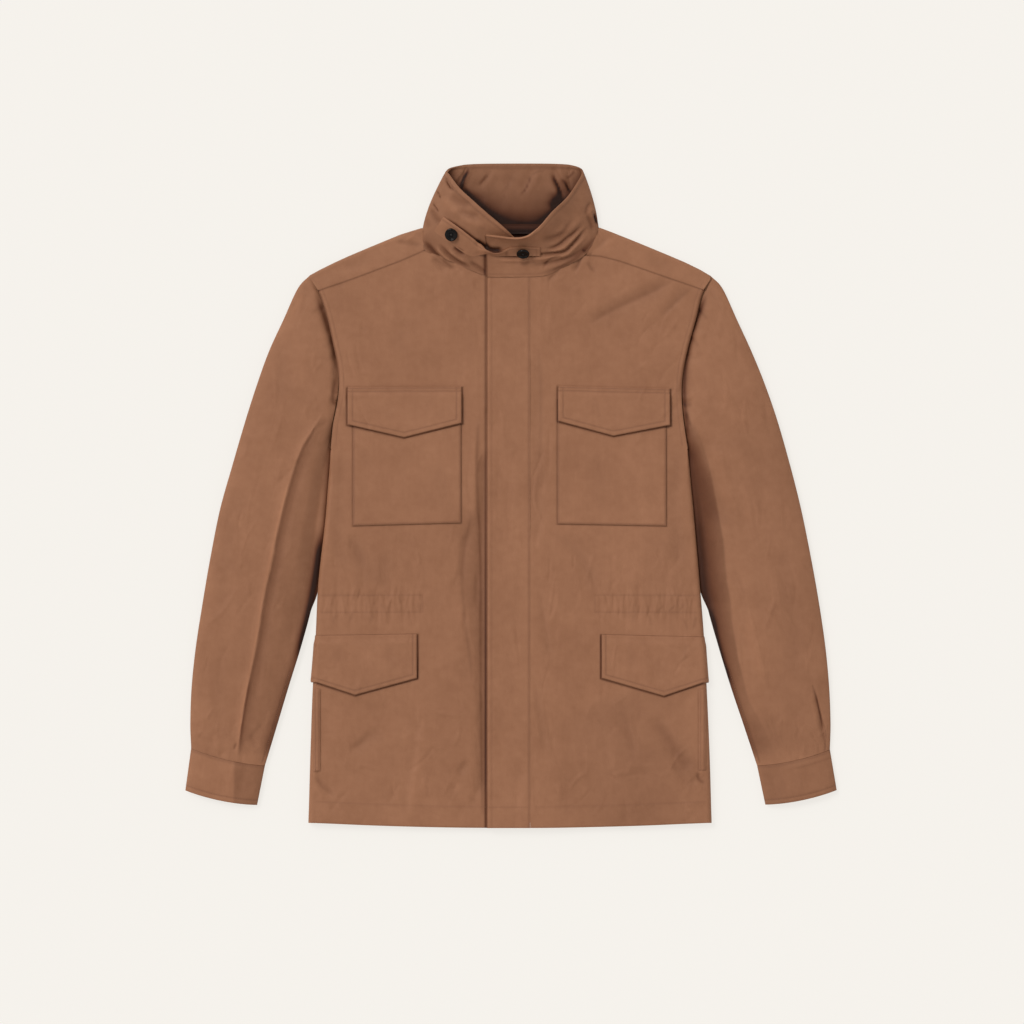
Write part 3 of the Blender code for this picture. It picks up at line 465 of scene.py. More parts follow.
# Painted shade in deep folds, narrow gaps and hollows and over broad parts turned from the light, and
# # painted highlight where the strength is negative: strength, width on the line's left and right, the
# line
BODY_SHADE = {"left": strokes("""
    0.44 1.6 2.2  102 310  94 303.2  89.1 297.1  81.7 291  69.5 284.9  60 278;
    0.08 3 2  33 190  36 110  34 30;
    0.18 3 4  204 120  207 132  209 150;
    0.24 1.4 2.4  89 294  84 285.5  79 274;
    0.2 1.4 2  91 286  96 280  101 273;
    0.1 1.4 2  60 277  48 266  42 256;
    0.08 2.5 4  202 264  162 244  124 227  92 208;
    0.08 2 3  222 256  200 235  184 219;
    0.13 62 62  120 -236  150 -320  152 -420;
    0.05 40 40  180 60  190 -60  190 -160;
    0.22 1.6 2  227 -336  229.4 -346  238 -353;
    0.1 9 6  176 -276  198 -304  222 -346;
    0.17 1 1.5  201 -133  191 -143;
    0.14 1 1.5  187 -134  178 -142;
    0.14 1 1.5  212 -132  204 -142;
    0.13 1.3 2  211 -148  216 -166;
    0.13 1.3 2  227 -146  221 -166;
    0.09 1.5 2  150 -124  152 -140  147 -160;
    0.08 1.5 2  168 -144  172 -162
"""), "right": strokes("""
    0.26 1.6 2.6  97 301  89 292  77.6 282.5  66 276;
    0.2 2 3  99 294  87 285  70 275;
    0.18 1.6 2.4  75.7 294  62.2 284.4  46 275;
    -0.07 2 2.4  92 298  84 289  70 279;
    0.22 1.6 2.4  40 100  42 20  38 -60  37 -150;
    0.2 1.6 2.6  38 -120  37 -250  36 -330  35 -396;
    0.12 1.6 2.4  47 -12  60 -100  47 -230;
    0.18 2.4 3  213 104  212 116  209 128;
    0.07 1.8 3  240 -340  230 -355  214 -369;
    0.24 1.4 1.4  244 -333  238 -337  233 -337;
    0.1 1.5 2  213 -142  218 -158;
    0.1 1.5 2  193 -142  198 -156;
    0.1 1.5 2  167 -142  174 -158;
    0.12 1 1.5  160 -131  154 -139;
    0.2 0.9 0.9  110.5 -130  110.5 -142
""")}
SLEEVE_SHADE = {"left": strokes("""
    0.4 5 8  257 -201  268 -237  279 -274  291 -310  298 -328;
    0.1 6.5 4  228 -20  234 -84  238 -118  243.5 -145  251 -176;
    0.46 4.5 4  240 -134  251 -176  260 -206  268 -236;
    0.6 3 3  241 254  235.5 238.5  222.7 202  214.1 165.3  211 128.7  212.9 98  216 68;
    0.14 2 3  226 232  234 222  242 214;
    0.14 2 3  218 196  226 186  232 180;
    0.22 1.4 2  208 114  213 110  222 112;
    0.3 2 3  214 104  217 92  220 82;
    0.62 0.8 1.1  368.9 -232  374.6 -255  379.2 -277  381.3 -290;
    0.22 0.9 1.2  381.3 -284  382.6 -298  383.6 -311;
    -0.1 2.6 1.4  365.9 -234  371.6 -257  376.2 -279;
    0.06 60 45  290 100  320 0  345 -120  352 -250  350 -330;
    0.1 22 26  318 -322  300 -292  290 -262;
    -0.07 3 3  252 256  262 236  270 220
"""), "right": strokes("""
    0.22 0.9 10  236 86  254 59  269 16  285 -48  289 -79  300 -121  308.5 -176  320.5 -235
       326 -266  331 -300  334 -325;
    0.14 0.9 46  226 104  254 59  269 16  285 -48  289 -79  300 -121  308.5 -176  320.5 -235
       326 -266  332 -318;
    0.36 0.7 1.6  317 -216  321 -238  326 -266  330.6 -298  332.6 -312;
    -0.1 2.6 0.7  270.6 20  287 -48  302 -121  310.5 -176  322.5 -235  333.4 -304;
    0.3 1.3 1.3  335 -301  338.5 -311;
    0.34 4 6  216 96  219 72  224 31  228 -30  233 -70;
    0.44 9 6  229 -34  235.5 -78  243.4 -127.5  254.4 -176  273 -237  290 -292  300 -330;
    0.44 5 6  232 -46  236 -85  243.4 -127.5  254.4 -176  264 -208;
    0.18 10 5  230 -50  236 -85  243.4 -127.5  254.4 -176  260 -196;
    0.5 3 3.6  240 252  229 221  218 185  212.5 150;
    0.3 2 3.2  213 150  216 136  217.5 122  215 106;
    0.08 2 3  230 234  238 226  246 220;
    0.1 2 3  217 192  225 184  232 180;
    0.24 1.4 2  206 116  213 112  221 115;
    -0.08 3 3  250 252  262 232  272 214
""")}

# Inner side of the wearer's left sleeve: its fold, the crease beside it, and how much painted shade it
# has at both
SLEEVE_BAND = table("""
    y -330 -290 -249.5 -200.7 -151.9 -128 -104.3 -51.9 -15.3 23.8 49.4 71.4 92;
    fold 300 285 268.4 256.2 243.5 236.8 231.8 226.9 223.6 219 217.2 213.5 211;
    crease 330 312 290 277.5 269.5 268.2 263.4 258.6 252 244.6 238 231 222;
    at_fold 0.2 0.3 0.42 0.5 0.78 0.85 0.85 0.8 0.78 0.76 0.74 0.64 0.46;
    at_crease 0.02 0.06 0.12 0.3 0.22 0.22 0.28 0.28 0.3 0.24 0.12 0.08 0.04
""")
# Painted shade, and painted highlight where the strength is negative, on the collar's outer face, in
# the hollow behind the strap's free edge, and on its inner face: strength, width on the line's left and
# right, the line
COLLAR_SHADE = strokes("""
    0.34 1.6 2.4  -29 291.2  11 291  37.8 293.5  63 297.1  71.2 302.8  79.3 311.7  87.4 320.7
       98 330;
    0.34 1.5 2.2  38.6 300.6  48.4 301.1  58.2 305.2  67.9 313.3  74.4 318.2  88.5 330.5;
    0.2 4 2.6  77 337  70 328  61 318  48 312.5  34 314;
    0.24 1.6 2.4  22 279  43 283  67 289  84 298  98 311;
    0.34 2.2 3  42 271.5  59.8 279  76 288.8  87.4 297  95.6 303.6  102 311;
    0.3 3 4  84 296  92 303  99 311  104 318;
    0.26 1.3 1.3  86 300  92 297;
    0.2 1.2 1.8  37.8 274.3  43.5 284  50 289  64.7 292.2;
    0.12 1.6 2.4  98.6 359  93.5 350  91.5 340;
    0.16 2 3  92 344  97.5 334  101 322;
    0.12 8 8  106 352  103 335  100 318;
    0.8 1.6 1.6  101 345  104 337  106 330;
    -0.08 1.8 1.8  42 296.8  60 300.5  70 307.6  82 318;
    -0.08 2 2  40 289  64 292.6  76 301  90 314;
    0.36 0.8 0.9  -91.4 373  -88 367  -85 361;
    0.36 0.8 0.9  -96.5 358.5  -92 351  -87 344;
    0.48 0.9 1.1  -81 388  -76 377.5  -68.5 370;
    0.52 1.7 2  -71 304  -64 298.5  -55 293.5;
    0.34 2.6 3.6  -109 312  -99 303  -90 293  -78 284;
    0.34 1.8 2.6  -88 308  -77 295  -63 285  -47 276;
    -0.1 2 2.2  -92 305  -82 292.5  -68 283;
    -0.09 2 2.2  -77 300  -66 291  -52 283;
    0.26 2.2 2.8  -52 286  -39 278  -28 270;
    0.14 6 6  -74 302  -58 294  -42 289;
    0.1 6 6  -86 347  -72 341  -58 338;
    0.16 6 5  -76 368  -64 358  -48 349;
    -0.06 7 7  -84 366  -72 350  -60 340;
    0.14 4 5  -66 349  -52 342  -36 339;
    -0.05 5 5  -58 338  -44 331  -30 326;
    0.18 12 9  -108 322  -100 305  -86 292;
    0.16 5 3  -100 352  -92 338  -84 330;
    0.12 4 3  -104 340  -99 326
""")
COLLAR_HOLLOW_SHADE = strokes("""
    0.86 1.5 1.2  -84 341  -76 335  -62 325.6  -47 314.6  -37 307.6  -27 300;
    0.94 4 3.4  -47 311  -38 305.5  -31 301.5  -26 298;
    0.94 3.2 3.4  -36 304  -24 298.4  -16 297.6  -7 300;
    0.3 2 3  10 285  16 283  24 286
""")
COLLAR_INSIDE_SHADE = strokes("""
    0.84 2.4 1.8  -51 402  -53.7 394.7  -57.3 387.4  -59.8 380  -61 372;
    0.36 1.2 1.2  -56 399  -59.3 386.5  -64 376;
    0.85 1.6 1.6  -80 397  -77.4 392  -74 385;
    0.3 1.8 4.5  -60 381  -48 366  -34 351;
    0.32 1 2.4  -27 393.5  -31 388  -35 383.6  -40 377.8;
    0.36 1 1.6  25 393  23 388  21 380.8  17 373  10.5 366;
    0.16 1.2 1.2  23 390  32 395.4  42 396.6;
    0.1 3.2 1.5  2 394  -4 380  -12 368;
    0.8 1.6 3.4  50.5 397  52.5 388  56.3 380  59.4 372  60.4 364  60 354;
    0.26 4.5 4.5  58 389  62 382  64 374  65 366;
    0.2 9 9  48 366  52 358  46 350;
    0.3 7 7  52 374  54 362  52 350;
    0.46 1.3 1.6  60.5 389  65 383  68.5 377  71 372.5  74.5 369;
    0.24 1.1 1.5  66 388  68 380  70.5 371;
    0.34 1.6 2  79 398  74 392  66 386;
    -0.08 3 3  -68 394  -66 384
""")
# The collar's front edges, beside which painted shade falls on its inner face
V_EDGES = (((-80, 400), (-62, 373), (-50, 362), (-27, 340), (-5, 321), (8, 314)),
           ((90, 394), (73, 367), (57, 352), (44, 334), (32, 321), (19.5, 314)))


def places(x, y, z):
    """Points from coordinates of any matching shapes."""
    return np.stack(np.broadcast_arrays(x, y, z), axis=-1).astype(float)


def smooth(knots, values, at):
    """Smooth curve through the table: a cubic whose slopes are those of the neighbouring chords."""
    slope = np.gradient(values, knots)
    at = np.clip(at, knots[0], knots[-1])
    spot = np.clip(np.searchsorted(knots, at, side="right") - 1, 0, len(knots) - 2)
    span = knots[spot + 1] - knots[spot]
    t = (at - knots[spot]) / span
    start = values[spot] * (1 + 2 * t) * (1 - t) ** 2 + slope[spot] * span * t * (1 - t) ** 2
    end = values[spot + 1] * t * t * (3 - 2 * t) + slope[spot + 1] * span * t * t * (t - 1)
    return start + end


def ease(t):
    """Soft step from 0 to 1."""
    t = np.clip(t, 0, 1)
    return t * t * (3 - 2 * t)


def bell(away, width):
    """One at no distance, and 1/e at the width: the exponential of minus the ratio squared."""
    return np.exp(-(away / width) ** 2)


def walk(steps):
    """Distance walked before each step, and after the last."""
    return np.concatenate([[0], np.cumsum(steps)])


def unit(vectors):
    """Vectors of length one in the same directions."""
    return vectors / np.maximum(np.linalg.norm(vectors, axis=-1, keepdims=True), 1e-9)


def closed(index):
    """Point numbers of rings, each ring's first point also at its end."""
    return np.append(index, index[:, :1], axis=1)


def smooth_line(points, steps=20):
    """Places along a smooth curve through a few points."""
    points = np.array(points, float)
    knots = np.arange(len(points), dtype=float)
    at = np.linspace(0, knots[-1], steps)
    return np.stack([smooth(knots, points[:, 0], at), smooth(knots, points[:, 1], at)], axis=-1)


def in_box(line, a, b, reach):
    """Which places lie in a line's box, grown by a reach."""
    near = (a > line[:, 0].min() - reach) & (a < line[:, 0].max() + reach)
    return near & (b > line[:, 1].min() - reach) & (b < line[:, 1].max() + reach)


def nearest(line, a, b):
    """For each place: the distance to a line, its side of the line, and how far along it is."""
    runs = np.diff(line, axis=0)
    lengths = np.hypot(runs[:, 0], runs[:, 1])
    before = walk(lengths)
    best = np.full(a.shape, np.inf)
    side = np.zeros(a.shape)
    along = np.zeros(a.shape)
    for start, run, length, passed in zip(line[:-1], runs, lengths, before):
        off_a = a - start[0]
        off_b = b - start[1]
        t = np.clip((off_a * run[0] + off_b * run[1]) / length ** 2, 0, 1)
        away = np.hypot(off_a - t * run[0], off_b - t * run[1])
        closer = away < best
        best = np.where(closer, away, best)
        side = np.where(closer, np.sign(run[0] * off_b - run[1] * off_a), side)
        along = np.where(closer, (passed + t * length) / before[-1], along)
    return best, side, along


# How far from its line a crease counts, in its widths, and how long its ends take to fade; how far
# a sewn line counts, and the size, width and first seed of the pucker beside it
CREASE_REACH = 2.6
CREASE_END = 26.0
CREASE_END_SHARE = 0.3
SEAM_REACH = 9
PUCKER_SIZE = 9.0
PUCKER_WIDTH = 4
PUCKER_SEED = 400


def creases(rows, a, b):
    """Sum of creases: each is a bell across its line, with its own width on either side, that rises
    from nothing at one end and falls to nothing at the other, within a set length or share of it."""
    a, b = np.broadcast_arrays(np.asarray(a, float), np.asarray(b, float))
    total = np.zeros(a.shape)
    for rise, left, right, points in rows:
        line = smooth_line(points)
        near = in_box(line, a, b, CREASE_REACH * max(left, right))
        if not near.any():
            continue
        away, side, along = nearest(line, a[near], b[near])
        width = np.where(side > 0, left, right)
        length = np.linalg.norm(np.diff(line, axis=0), axis=1).sum()
        end = min(CREASE_END_SHARE, CREASE_END / length)
        fade = ease(along / end) * ease((1 - along) / end)
        total[near] += rise * fade * bell(away, width)
    return total


def ripple(a, b, size, seed):
    """Slow unevenness of the cloth, about one high: a sum of waves of set directions and lengths."""
    rng = np.random.default_rng(seed)
    total = 0
    for _ in range(7):
        turn = rng.uniform(0, math.pi)
        wave = 2 * math.pi / (size * rng.uniform(0.6, 1.7))
        phase = rng.uniform(0, 2 * math.pi)
        total = total + np.sin(wave * (a * math.cos(turn) + b * math.sin(turn)) + phase)
    return total / 7 * 1.9


def ditches(lines, a, b, width=1.0, shares=()):
    """How deep each place lies in the sewn lines, from 0 to each line's share, and the pucker beside
    them."""
    a, b = np.broadcast_arrays(np.asarray(a, float), np.asarray(b, float))
    deep = np.zeros(a.shape)
    pucker = np.zeros(a.shape)
    for seed, line in enumerate(lines):
        line = np.asarray(line, float)
        near = in_box(line, a, b, SEAM_REACH)
        if not near.any():
            continue
        away = nearest(line, a[near], b[near])[0]
        share = shares[seed] if shares else 1.0
        deep[near] = np.maximum(deep[near], share * bell(away, width))
        waves = ripple(a[near], b[near], PUCKER_SIZE, PUCKER_SEED + seed)
        pucker[near] += waves * bell(away, PUCKER_WIDTH)
    return deep, pucker


# ---------------------------------------------------------------- finishes
class Signal:
    """A socket of a material, so that shader maths reads as Python expressions."""

    def __init__(self, tree, socket=None):
        self.tree = tree
        self.socket = socket

    def make(self, kind, settings, inputs, output=0):
        """Any node: its type, its settings, which are set first, then its sockets' values or links."""
        node = self.tree.nodes.new(kind)
        for name, value in settings.items():
            setattr(node, name, value)
        for key, value in inputs.items():
            if isinstance(value, Signal):
                self.tree.links.new(value.socket, node.inputs[key])
            else:
                node.inputs[key].default_value = value
        return Signal(self.tree, node.outputs[output])

    def math(self, operation, *values):
        return self.make("ShaderNodeMath", {"operation": operation}, dict(enumerate(values)))

    def __add__(self, other):
        return self.math("ADD", self, other)

    __radd__ = __add__

    def __sub__(self, other):
        return self.math("SUBTRACT", self, other)

    def __rsub__(self, other):
        return self.math("SUBTRACT", other, self)

    def __mul__(self, other):
        return self.math("MULTIPLY", self, other)

    __rmul__ = __mul__

    def sin(self):
        return self.math("SINE", self)

    def vector(self, operation, inputs):
        """Maths on a colour or vector, this one first."""
        return self.make("ShaderNodeVectorMath", {"operation": operation}, {0: self, **inputs})

    def mix(self, low, high):
        """A colour from low to high, by this share."""
        return self.make("ShaderNodeMix", {"data_type": "RGBA"}, {0: self, 6: low, 7: high}, 2)

    def spot(self):
        """The place in the object's own coordinates."""
        return self.make("ShaderNodeTexCoord", {}, {}, 3)

    def noise(self, scale, detail, settings=None, **inputs):
        """Noise at this place."""
        inputs = {"Vector": self, "Scale": scale, "Detail": detail, **inputs}
        return self.make("ShaderNodeTexNoise", settings or {}, inputs)

    def mark(self, name):
        """The cloth's own number of that name at each point."""
        return self.make("ShaderNodeAttribute", {"attribute_name": name}, {}, 2)


def blank_finish(name, values):
    """A material with one shader: the shader's own values are set, and its socket maker comes back."""
    finish = bpy.data.materials.new(name)
    finish.use_nodes = True
    shader = finish.node_tree.nodes["Principled BSDF"]
    for key, value in values.items():
        shader.inputs[key].default_value = value
    return finish, shader, Signal(finish.node_tree)


def connect(signal, shader, key):
    signal.tree.links.new(signal.socket, shader.inputs[key])


def cotton(name, deep, light, seam_dark, thread_mm=0.55):
    """Close-woven cotton: crossed threads, slubs along the warp, a slow cloudiness, sewn lines that
    are darker by the seam attribute, and painted shade from the shade attribute in deep folds, gaps
    and hollows, with a painted highlight where that attribute is negative."""
    finish, shader, maker = blank_finish(name, {
        "Specular IOR Level": 0.22, "Sheen Weight": 0.06, "Sheen Roughness": 0.5,
        "Sheen Tint": (0.9, 0.62, 0.42, 1.0)})
    uv = maker.make("ShaderNodeUVMap", {"uv_map": "cloth"}, {})
    across = maker.make("ShaderNodeSeparateXYZ", {}, {0: uv}, 0)
    along = maker.make("ShaderNodeSeparateXYZ", {}, {0: uv}, 1)
    wave = 2 * math.pi / (thread_mm * MM)
    weave = (across * wave).sin() * (along * wave).sin()
    streaks = uv.vector("MULTIPLY", {1: (260, 26, 0)})
    slub = streaks.noise(1, 3, {"noise_dimensions": "2D"}, Roughness=0.6)
    spot = maker.spot()
    cloud = spot.noise(9, 3)
    grain = spot.noise(900, 2)
    blotch = spot.noise(42, 2)
    seam = maker.mark("seam")
    shade = maker.mark("shade")
    mottle = spot.noise(130, 3)
    tone = 0.5 + (slub - 0.5) * 0.34 + (cloud - 0.5) * 1.2 + (blotch - 0.5) * 1.1
    tone = tone + (mottle - 0.5) * 0.9 + (grain - 0.5) * 0.35 + weave * 0.06
    body = tone.mix(deep, light)
    colour = (seam * 0.34).mix(body, seam_dark)
    # Painted shade: the colour is dimmed by the shade attribute and turns browner where it is deep;
    # where that attribute is negative it is a painted highlight
    browner = (shade * shade).vector("MULTIPLY_ADD", {1: (0.14, -0.52, -0.90), 2: (1, 1, 1)})
    dimmed = colour.vector("SCALE", {"Scale": 1.0 - shade})
    connect(dimmed.vector("MULTIPLY", {1: browner}), shader, "Base Color")
    connect(0.60 + (cloud - 0.5) * 0.12 + (slub - 0.5) * 0.08, shader, "Roughness")
    rumple = spot.noise(24, 3, {"noise_type": "RIDGED_MULTIFRACTAL"}, Distortion=0.6)
    height = weave * 0.5 + slub * 0.6 + grain * 0.35 + rumple * 2.6 + blotch * 3.0
    bump = maker.make("ShaderNodeBump", {}, {"Strength": 0.35, "Distance": 0.00022, "Height": height})
    connect(bump, shader, "Normal")
    return finish


def thread_finish(name, colour):
    """Twisted sewing thread: fine ridges along each stitch."""
    finish, shader, maker = blank_finish(name, {"Specular IOR Level": 0.35, "Sheen Weight": 0.1})
    twist = maker.spot().noise(1500, 1)
    low = tuple(0.82 * part for part in colour[:3]) + (1.0,)
    connect(twist.mix(low, colour), shader, "Base Color")
    connect(0.5 + twist * 0.2, shader, "Roughness")
    return finish


def horn_finish(name):
    """Polished black button with faint cloudy streaks and hairline scratches."""
    finish, shader, maker = blank_finish(name, {"Specular IOR Level": 0.1, "Coat Roughness": 0.05})
    spot = maker.spot()
    cloud = spot.noise(160, 4)
    fine = spot.noise(2200, 2)
    connect(cloud.mix((0.002, 0.002, 0.002, 1), (0.009, 0.007, 0.006, 1)), shader, "Base Color")
    connect(0.14 + fine * 0.12, shader, "Roughness")
    connect(0.08 + cloud * 0.2, shader, "Coat Weight")
    return finish


CLOTH = cotton("tan_cotton", (0.280, 0.1225, 0.0620, 1), (0.340, 0.1545, 0.0815, 1),
               (0.120, 0.046, 0.024, 1))
TAPE = cotton("neck_tape_cotton", (0.215, 0.090, 0.050, 1), (0.262, 0.114, 0.064, 1),
              (0.100, 0.040, 0.022, 1), thread_mm=0.8)
THREAD = thread_finish("brown_thread", (0.300, 0.133, 0.072, 1))
BLACK_THREAD = thread_finish("black_thread", (0.020, 0.016, 0.014, 1))
HORN = horn_finish("black_horn")


# ---------------------------------------------------------------- mesh making
SHARP_ANGLE = 48
# Limits of the painted shade; below nought it is a painted highlight
SHADE_LIMITS = (-0.15, 0.94)


def put(thing):
    """Put an object into the scene."""
    bpy.context.scene.collection.objects.link(thing)
    return thing


def add_mesh(name, points, faces, finish, marks=None, uv=None):
    """An object from millimetre points and arrays of faces, each with one row a face."""
    used = np.unique(np.concatenate([part.ravel() for part in faces]))
    place = np.zeros(len(points), int)
    place[used] = np.arange(len(used))
    loops = np.concatenate([place[part].ravel() for part in faces])
    sizes = np.concatenate([np.full(len(part), part.shape[1]) for part in faces])
    starts = walk(sizes)[:-1].astype(int)
    mesh = bpy.data.meshes.new(name)
    mesh.vertices.add(len(used))
    mesh.vertices.foreach_set("co", (points[used] * MM).ravel())
    mesh.loops.add(len(loops))
    mesh.loops.foreach_set("vertex_index", loops)
    mesh.polygons.add(len(sizes))
    mesh.polygons.foreach_set("loop_start", starts)
    mesh.update(calc_edges=True)
    mesh.validate()
    for key, values in (marks or {}).items():
        mesh.attributes.new(key, "FLOAT", "POINT").data.foreach_set("value", values[used])
    if uv is not None:
        mesh.uv_layers.new(name="cloth").data.foreach_set("uv", (uv[used][loops] * MM).ravel())
    mesh.shade_smooth()
    mesh.set_sharp_from_angle(angle=math.radians(SHARP_ANGLE))
    mesh.materials.append(finish)
    return put(bpy.data.objects.new(name, mesh))


def quads(index):
    """Corners of every cell of a grid of point numbers."""
    return np.stack([index[:-1, :-1], index[:-1, 1:], index[1:, 1:], index[1:, :-1]], axis=-1)


def grid_normals(points, around):
    """Unit normals of a grid: the cross product of the steps along its columns and its rows."""
    if around:
        across = np.roll(points, -1, axis=1) - np.roll(points, 1, axis=1)
    else:
        across = np.gradient(points, axis=1)
    return unit(np.cross(across, np.gradient(points, axis=0)))


def run_lengths(points, axis):
    """Distance walked along a grid's rows or columns, for the cloth's own coordinates."""
    steps = np.linalg.norm(np.diff(points, axis=axis), axis=-1)
    return np.insert(np.cumsum(steps, axis=axis), 0, 0, axis=axis)


def rim(fine, coarse, cells, step, around):
    """Faces that close the wall along every side of the kept cells."""
    ring = np.pad(cells, ((1, 1), (0, 0)))
    sides = np.pad(cells, ((0, 0), (1, 1)), mode="wrap" if around else "constant")
    up = np.arange(step + 1)
    faces = []
    for shift, order in ((0, up[::-1]), (1, up)):
        edge = (ring[1:] & ~ring[:-1]) if shift == 0 else (ring[:-1] & ~ring[1:])
        i, j = np.nonzero(edge)
        outer = fine[(i * step)[:, None], j[:, None] * step + order]
        first, last = (0, 1) if shift == 0 else (1, 0)
        faces.append(np.column_stack([outer, coarse[i, j + first], coarse[i, j + last]]))
    for shift, order in ((0, up), (1, up[::-1])):
        edge = (sides[:, 1:] & ~sides[:, :-1]) if shift == 0 else (sides[:, :-1] & ~sides[:, 1:])
        i, j = np.nonzero(edge)
        outer = fine[i[:, None] * step + order, (j * step)[:, None]]
        first, last = (1, 0) if shift == 0 else (0, 1)
        faces.append(np.column_stack([outer, coarse[i + first, j], coarse[i + last, j]]))
    return [part for part in faces if len(part)]


def shell(name, outer, wall, finish=CLOTH, step=4, cells=None, around=False, flip=False, seam=0.0,
          shade=0.0):
    """A closed wall of cloth: the grid is its outer face, and every step-th point moved inwards by
    the wall is its inner face."""
    rows, columns = outer.shape[:2]
    normal = grid_normals(outer, around) * (-1 if flip else 1)
    inner = (outer - normal * np.broadcast_to(wall, (rows, columns))[..., None])[::step, ::step]
    fine = np.arange(rows * columns).reshape(rows, columns)
    coarse = rows * columns + np.arange(inner[..., 0].size).reshape(inner.shape[:2])
    if around:
        fine, coarse = closed(fine), closed(coarse)
    if cells is None:
        cells = np.ones((coarse.shape[0] - 1, coarse.shape[1] - 1), bool)
    every = np.repeat(np.repeat(cells, step, axis=0), step, axis=1)
    faces = [quads(fine)[every], quads(coarse)[cells][:, ::-1]]
    faces += rim(fine, coarse, cells, step, around)
    if flip:
        faces = [part[:, ::-1] for part in faces]
    uv = np.stack([run_lengths(outer, 1), run_lengths(outer, 0)], axis=-1)
    marks = {}
    for key, values in (("seam", seam), ("shade", np.clip(shade, *SHADE_LIMITS))):
        values = np.broadcast_to(values, (rows, columns))
        marks[key] = np.concatenate([values.ravel(), values[::step, ::step].ravel()])
    return add_mesh(
        name, np.concatenate([outer.reshape(-1, 3), inner.reshape(-1, 3)]), faces, finish, marks=marks,
        uv=np.concatenate([uv.reshape(-1, 2), uv[::step, ::step].reshape(-1, 2)]))


# Share along a stitch, its middle's height over the cloth and its radius there
STITCH_PROFILE = ((0, -0.16, 0.05), (0.22, 0, 0.16), (0.5, 0.04, 0.18), (0.78, 0, 0.16),
                  (1, -0.16, 0.05))
STITCH_START = 0.12
STITCH_SHARE = 0.78


def stitch_run(skin, first, second, pitch=3.0, flip=False):
    """Stitches along a path on a surface: each is a thread that dips into the cloth at both ends.
    skin gives points for two parameters, and the path is given in them."""
    at = np.linspace(0, 1, 400)
    knots = np.linspace(0, 1, len(first))
    a = np.interp(at, knots, first)
    b = np.interp(at, knots, second)
    line = skin(a, b)
    scale_a = max(np.ptp(first), 1e-3) * 0.004 + 1e-3
    scale_b = max(np.ptp(second), 1e-3) * 0.004 + 1e-3
    normal = unit(np.cross(skin(a + scale_a, b) - line, skin(a, b + scale_b) - line))
    if flip:
        normal = -normal
    walked = walk(np.linalg.norm(np.diff(line, axis=0), axis=1))
    count = max(int(walked[-1] / pitch), 1)
    starts = (np.arange(count) + STITCH_START) * walked[-1] / count
    long = STITCH_SHARE * walked[-1] / count

    def at_spot(values, spot):
        return np.stack([np.interp(spot, walked, column) for column in values.T], axis=-1)

    rings = []
    for share, lift, radius in STITCH_PROFILE:
        spot = starts + long * share
        centre = at_spot(line, spot)
        up = at_spot(normal, spot)
        beside = np.cross(unit(at_spot(line, spot + 0.4) - at_spot(line, spot - 0.4)), up)
        corners = [centre + up * (lift + radius * math.sin(turn)) + beside * radius * math.cos(turn)
                   for turn in (0.0, math.pi / 2, math.pi, 1.5 * math.pi)]
        rings.append(np.stack(corners, axis=1))
    return np.stack(rings, axis=1)


def stitching(name, runs):
    """One object for all the stitches of a piece."""
    tubes = np.concatenate(runs)
    count, rings, sides = tubes.shape[:3]
    index = np.arange(count * rings * sides).reshape(count, rings, sides)
    around = np.concatenate([index, index[:, :, :1]], axis=2)
    walls = np.stack([around[:, :-1, :-1], around[:, 1:, :-1], around[:, 1:, 1:], around[:, :-1, 1:]],
                     axis=-1).reshape(-1, 4)
    ends = np.concatenate([index[:, 0], index[:, -1, ::-1]])
    thing = add_mesh(name, tubes.reshape(-1, 3), [walls, ends], THREAD)
    thing.data.shade_smooth()
    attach(thing, "root")
    return thing


def place_cloth(thing, node):
    """Put a cloth piece in for its solid: hang it on the root and hide the solid."""
    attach(thing, "root")
    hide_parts(node)


# ---------------------------------------------------------------- the body
def edge_out(side, y):
    """Silhouette of the body at y, under the armpit."""
    return smooth(BODY_EDGE[side]["y"], BODY_EDGE[side]["out"], y)


def armhole_out(side, y):
    """Armhole seam at y, over the armpit."""
    return smooth(ARMHOLE[side]["y"], ARMHOLE[side]["out"], y)


def fold_depth(y):
    """How far the side fold curves in from the silhouette: small at the armpit, full below it."""
    return SIDE_FOLD_AT_PIT + (SIDE_FOLD - SIDE_FOLD_AT_PIT) * ease((PIT_Y - y) / FOLD_GROWTH)


def seam_under(y):
    """How far the side seam lies in from the silhouette, on the underside."""
    return SEAM_UNDER_AT_PIT + (SEAM_UNDER - SEAM_UNDER_AT_PIT) * ease((PIT_Y - y) / FOLD_GROWTH)


def gather_height(side, out, y):
    """Waist gathers: each trough is a bell across, deepest on the casing, fading above and below.
    Between the large ones lie narrow ones of random place, lean and reach."""
    rows = GATHERS[side]
    total = np.zeros(np.broadcast(out, y).shape)
    for k in range(len(rows["out"])):
        reach = np.where(y > WAIST_Y, rows["above"][k], rows["below"][k])
        fade = bell(y - WAIST_Y, reach)
        total = total - 0.5 * rows["depth"][k] * fade * bell(out - rows["out"][k],
                                                             0.62 * rows["width"][k])
    rng = np.random.default_rng(GATHER_SEED[side])
    for out_at in np.linspace(108, 234, 46):
        middle = out_at + rng.uniform(-2, 2)
        lean = rng.uniform(-0.34, 0.34)
        height = WAIST_Y + rng.uniform(-12, 12)
        reach = rng.uniform(4, 13)
        rise = rng.choice([-1, 1]) * rng.uniform(0.35, 0.8)
        fade = bell(y - height, reach)
        total = total + rise * fade * bell(out - middle - lean * (y - height), 1.7)
    return total


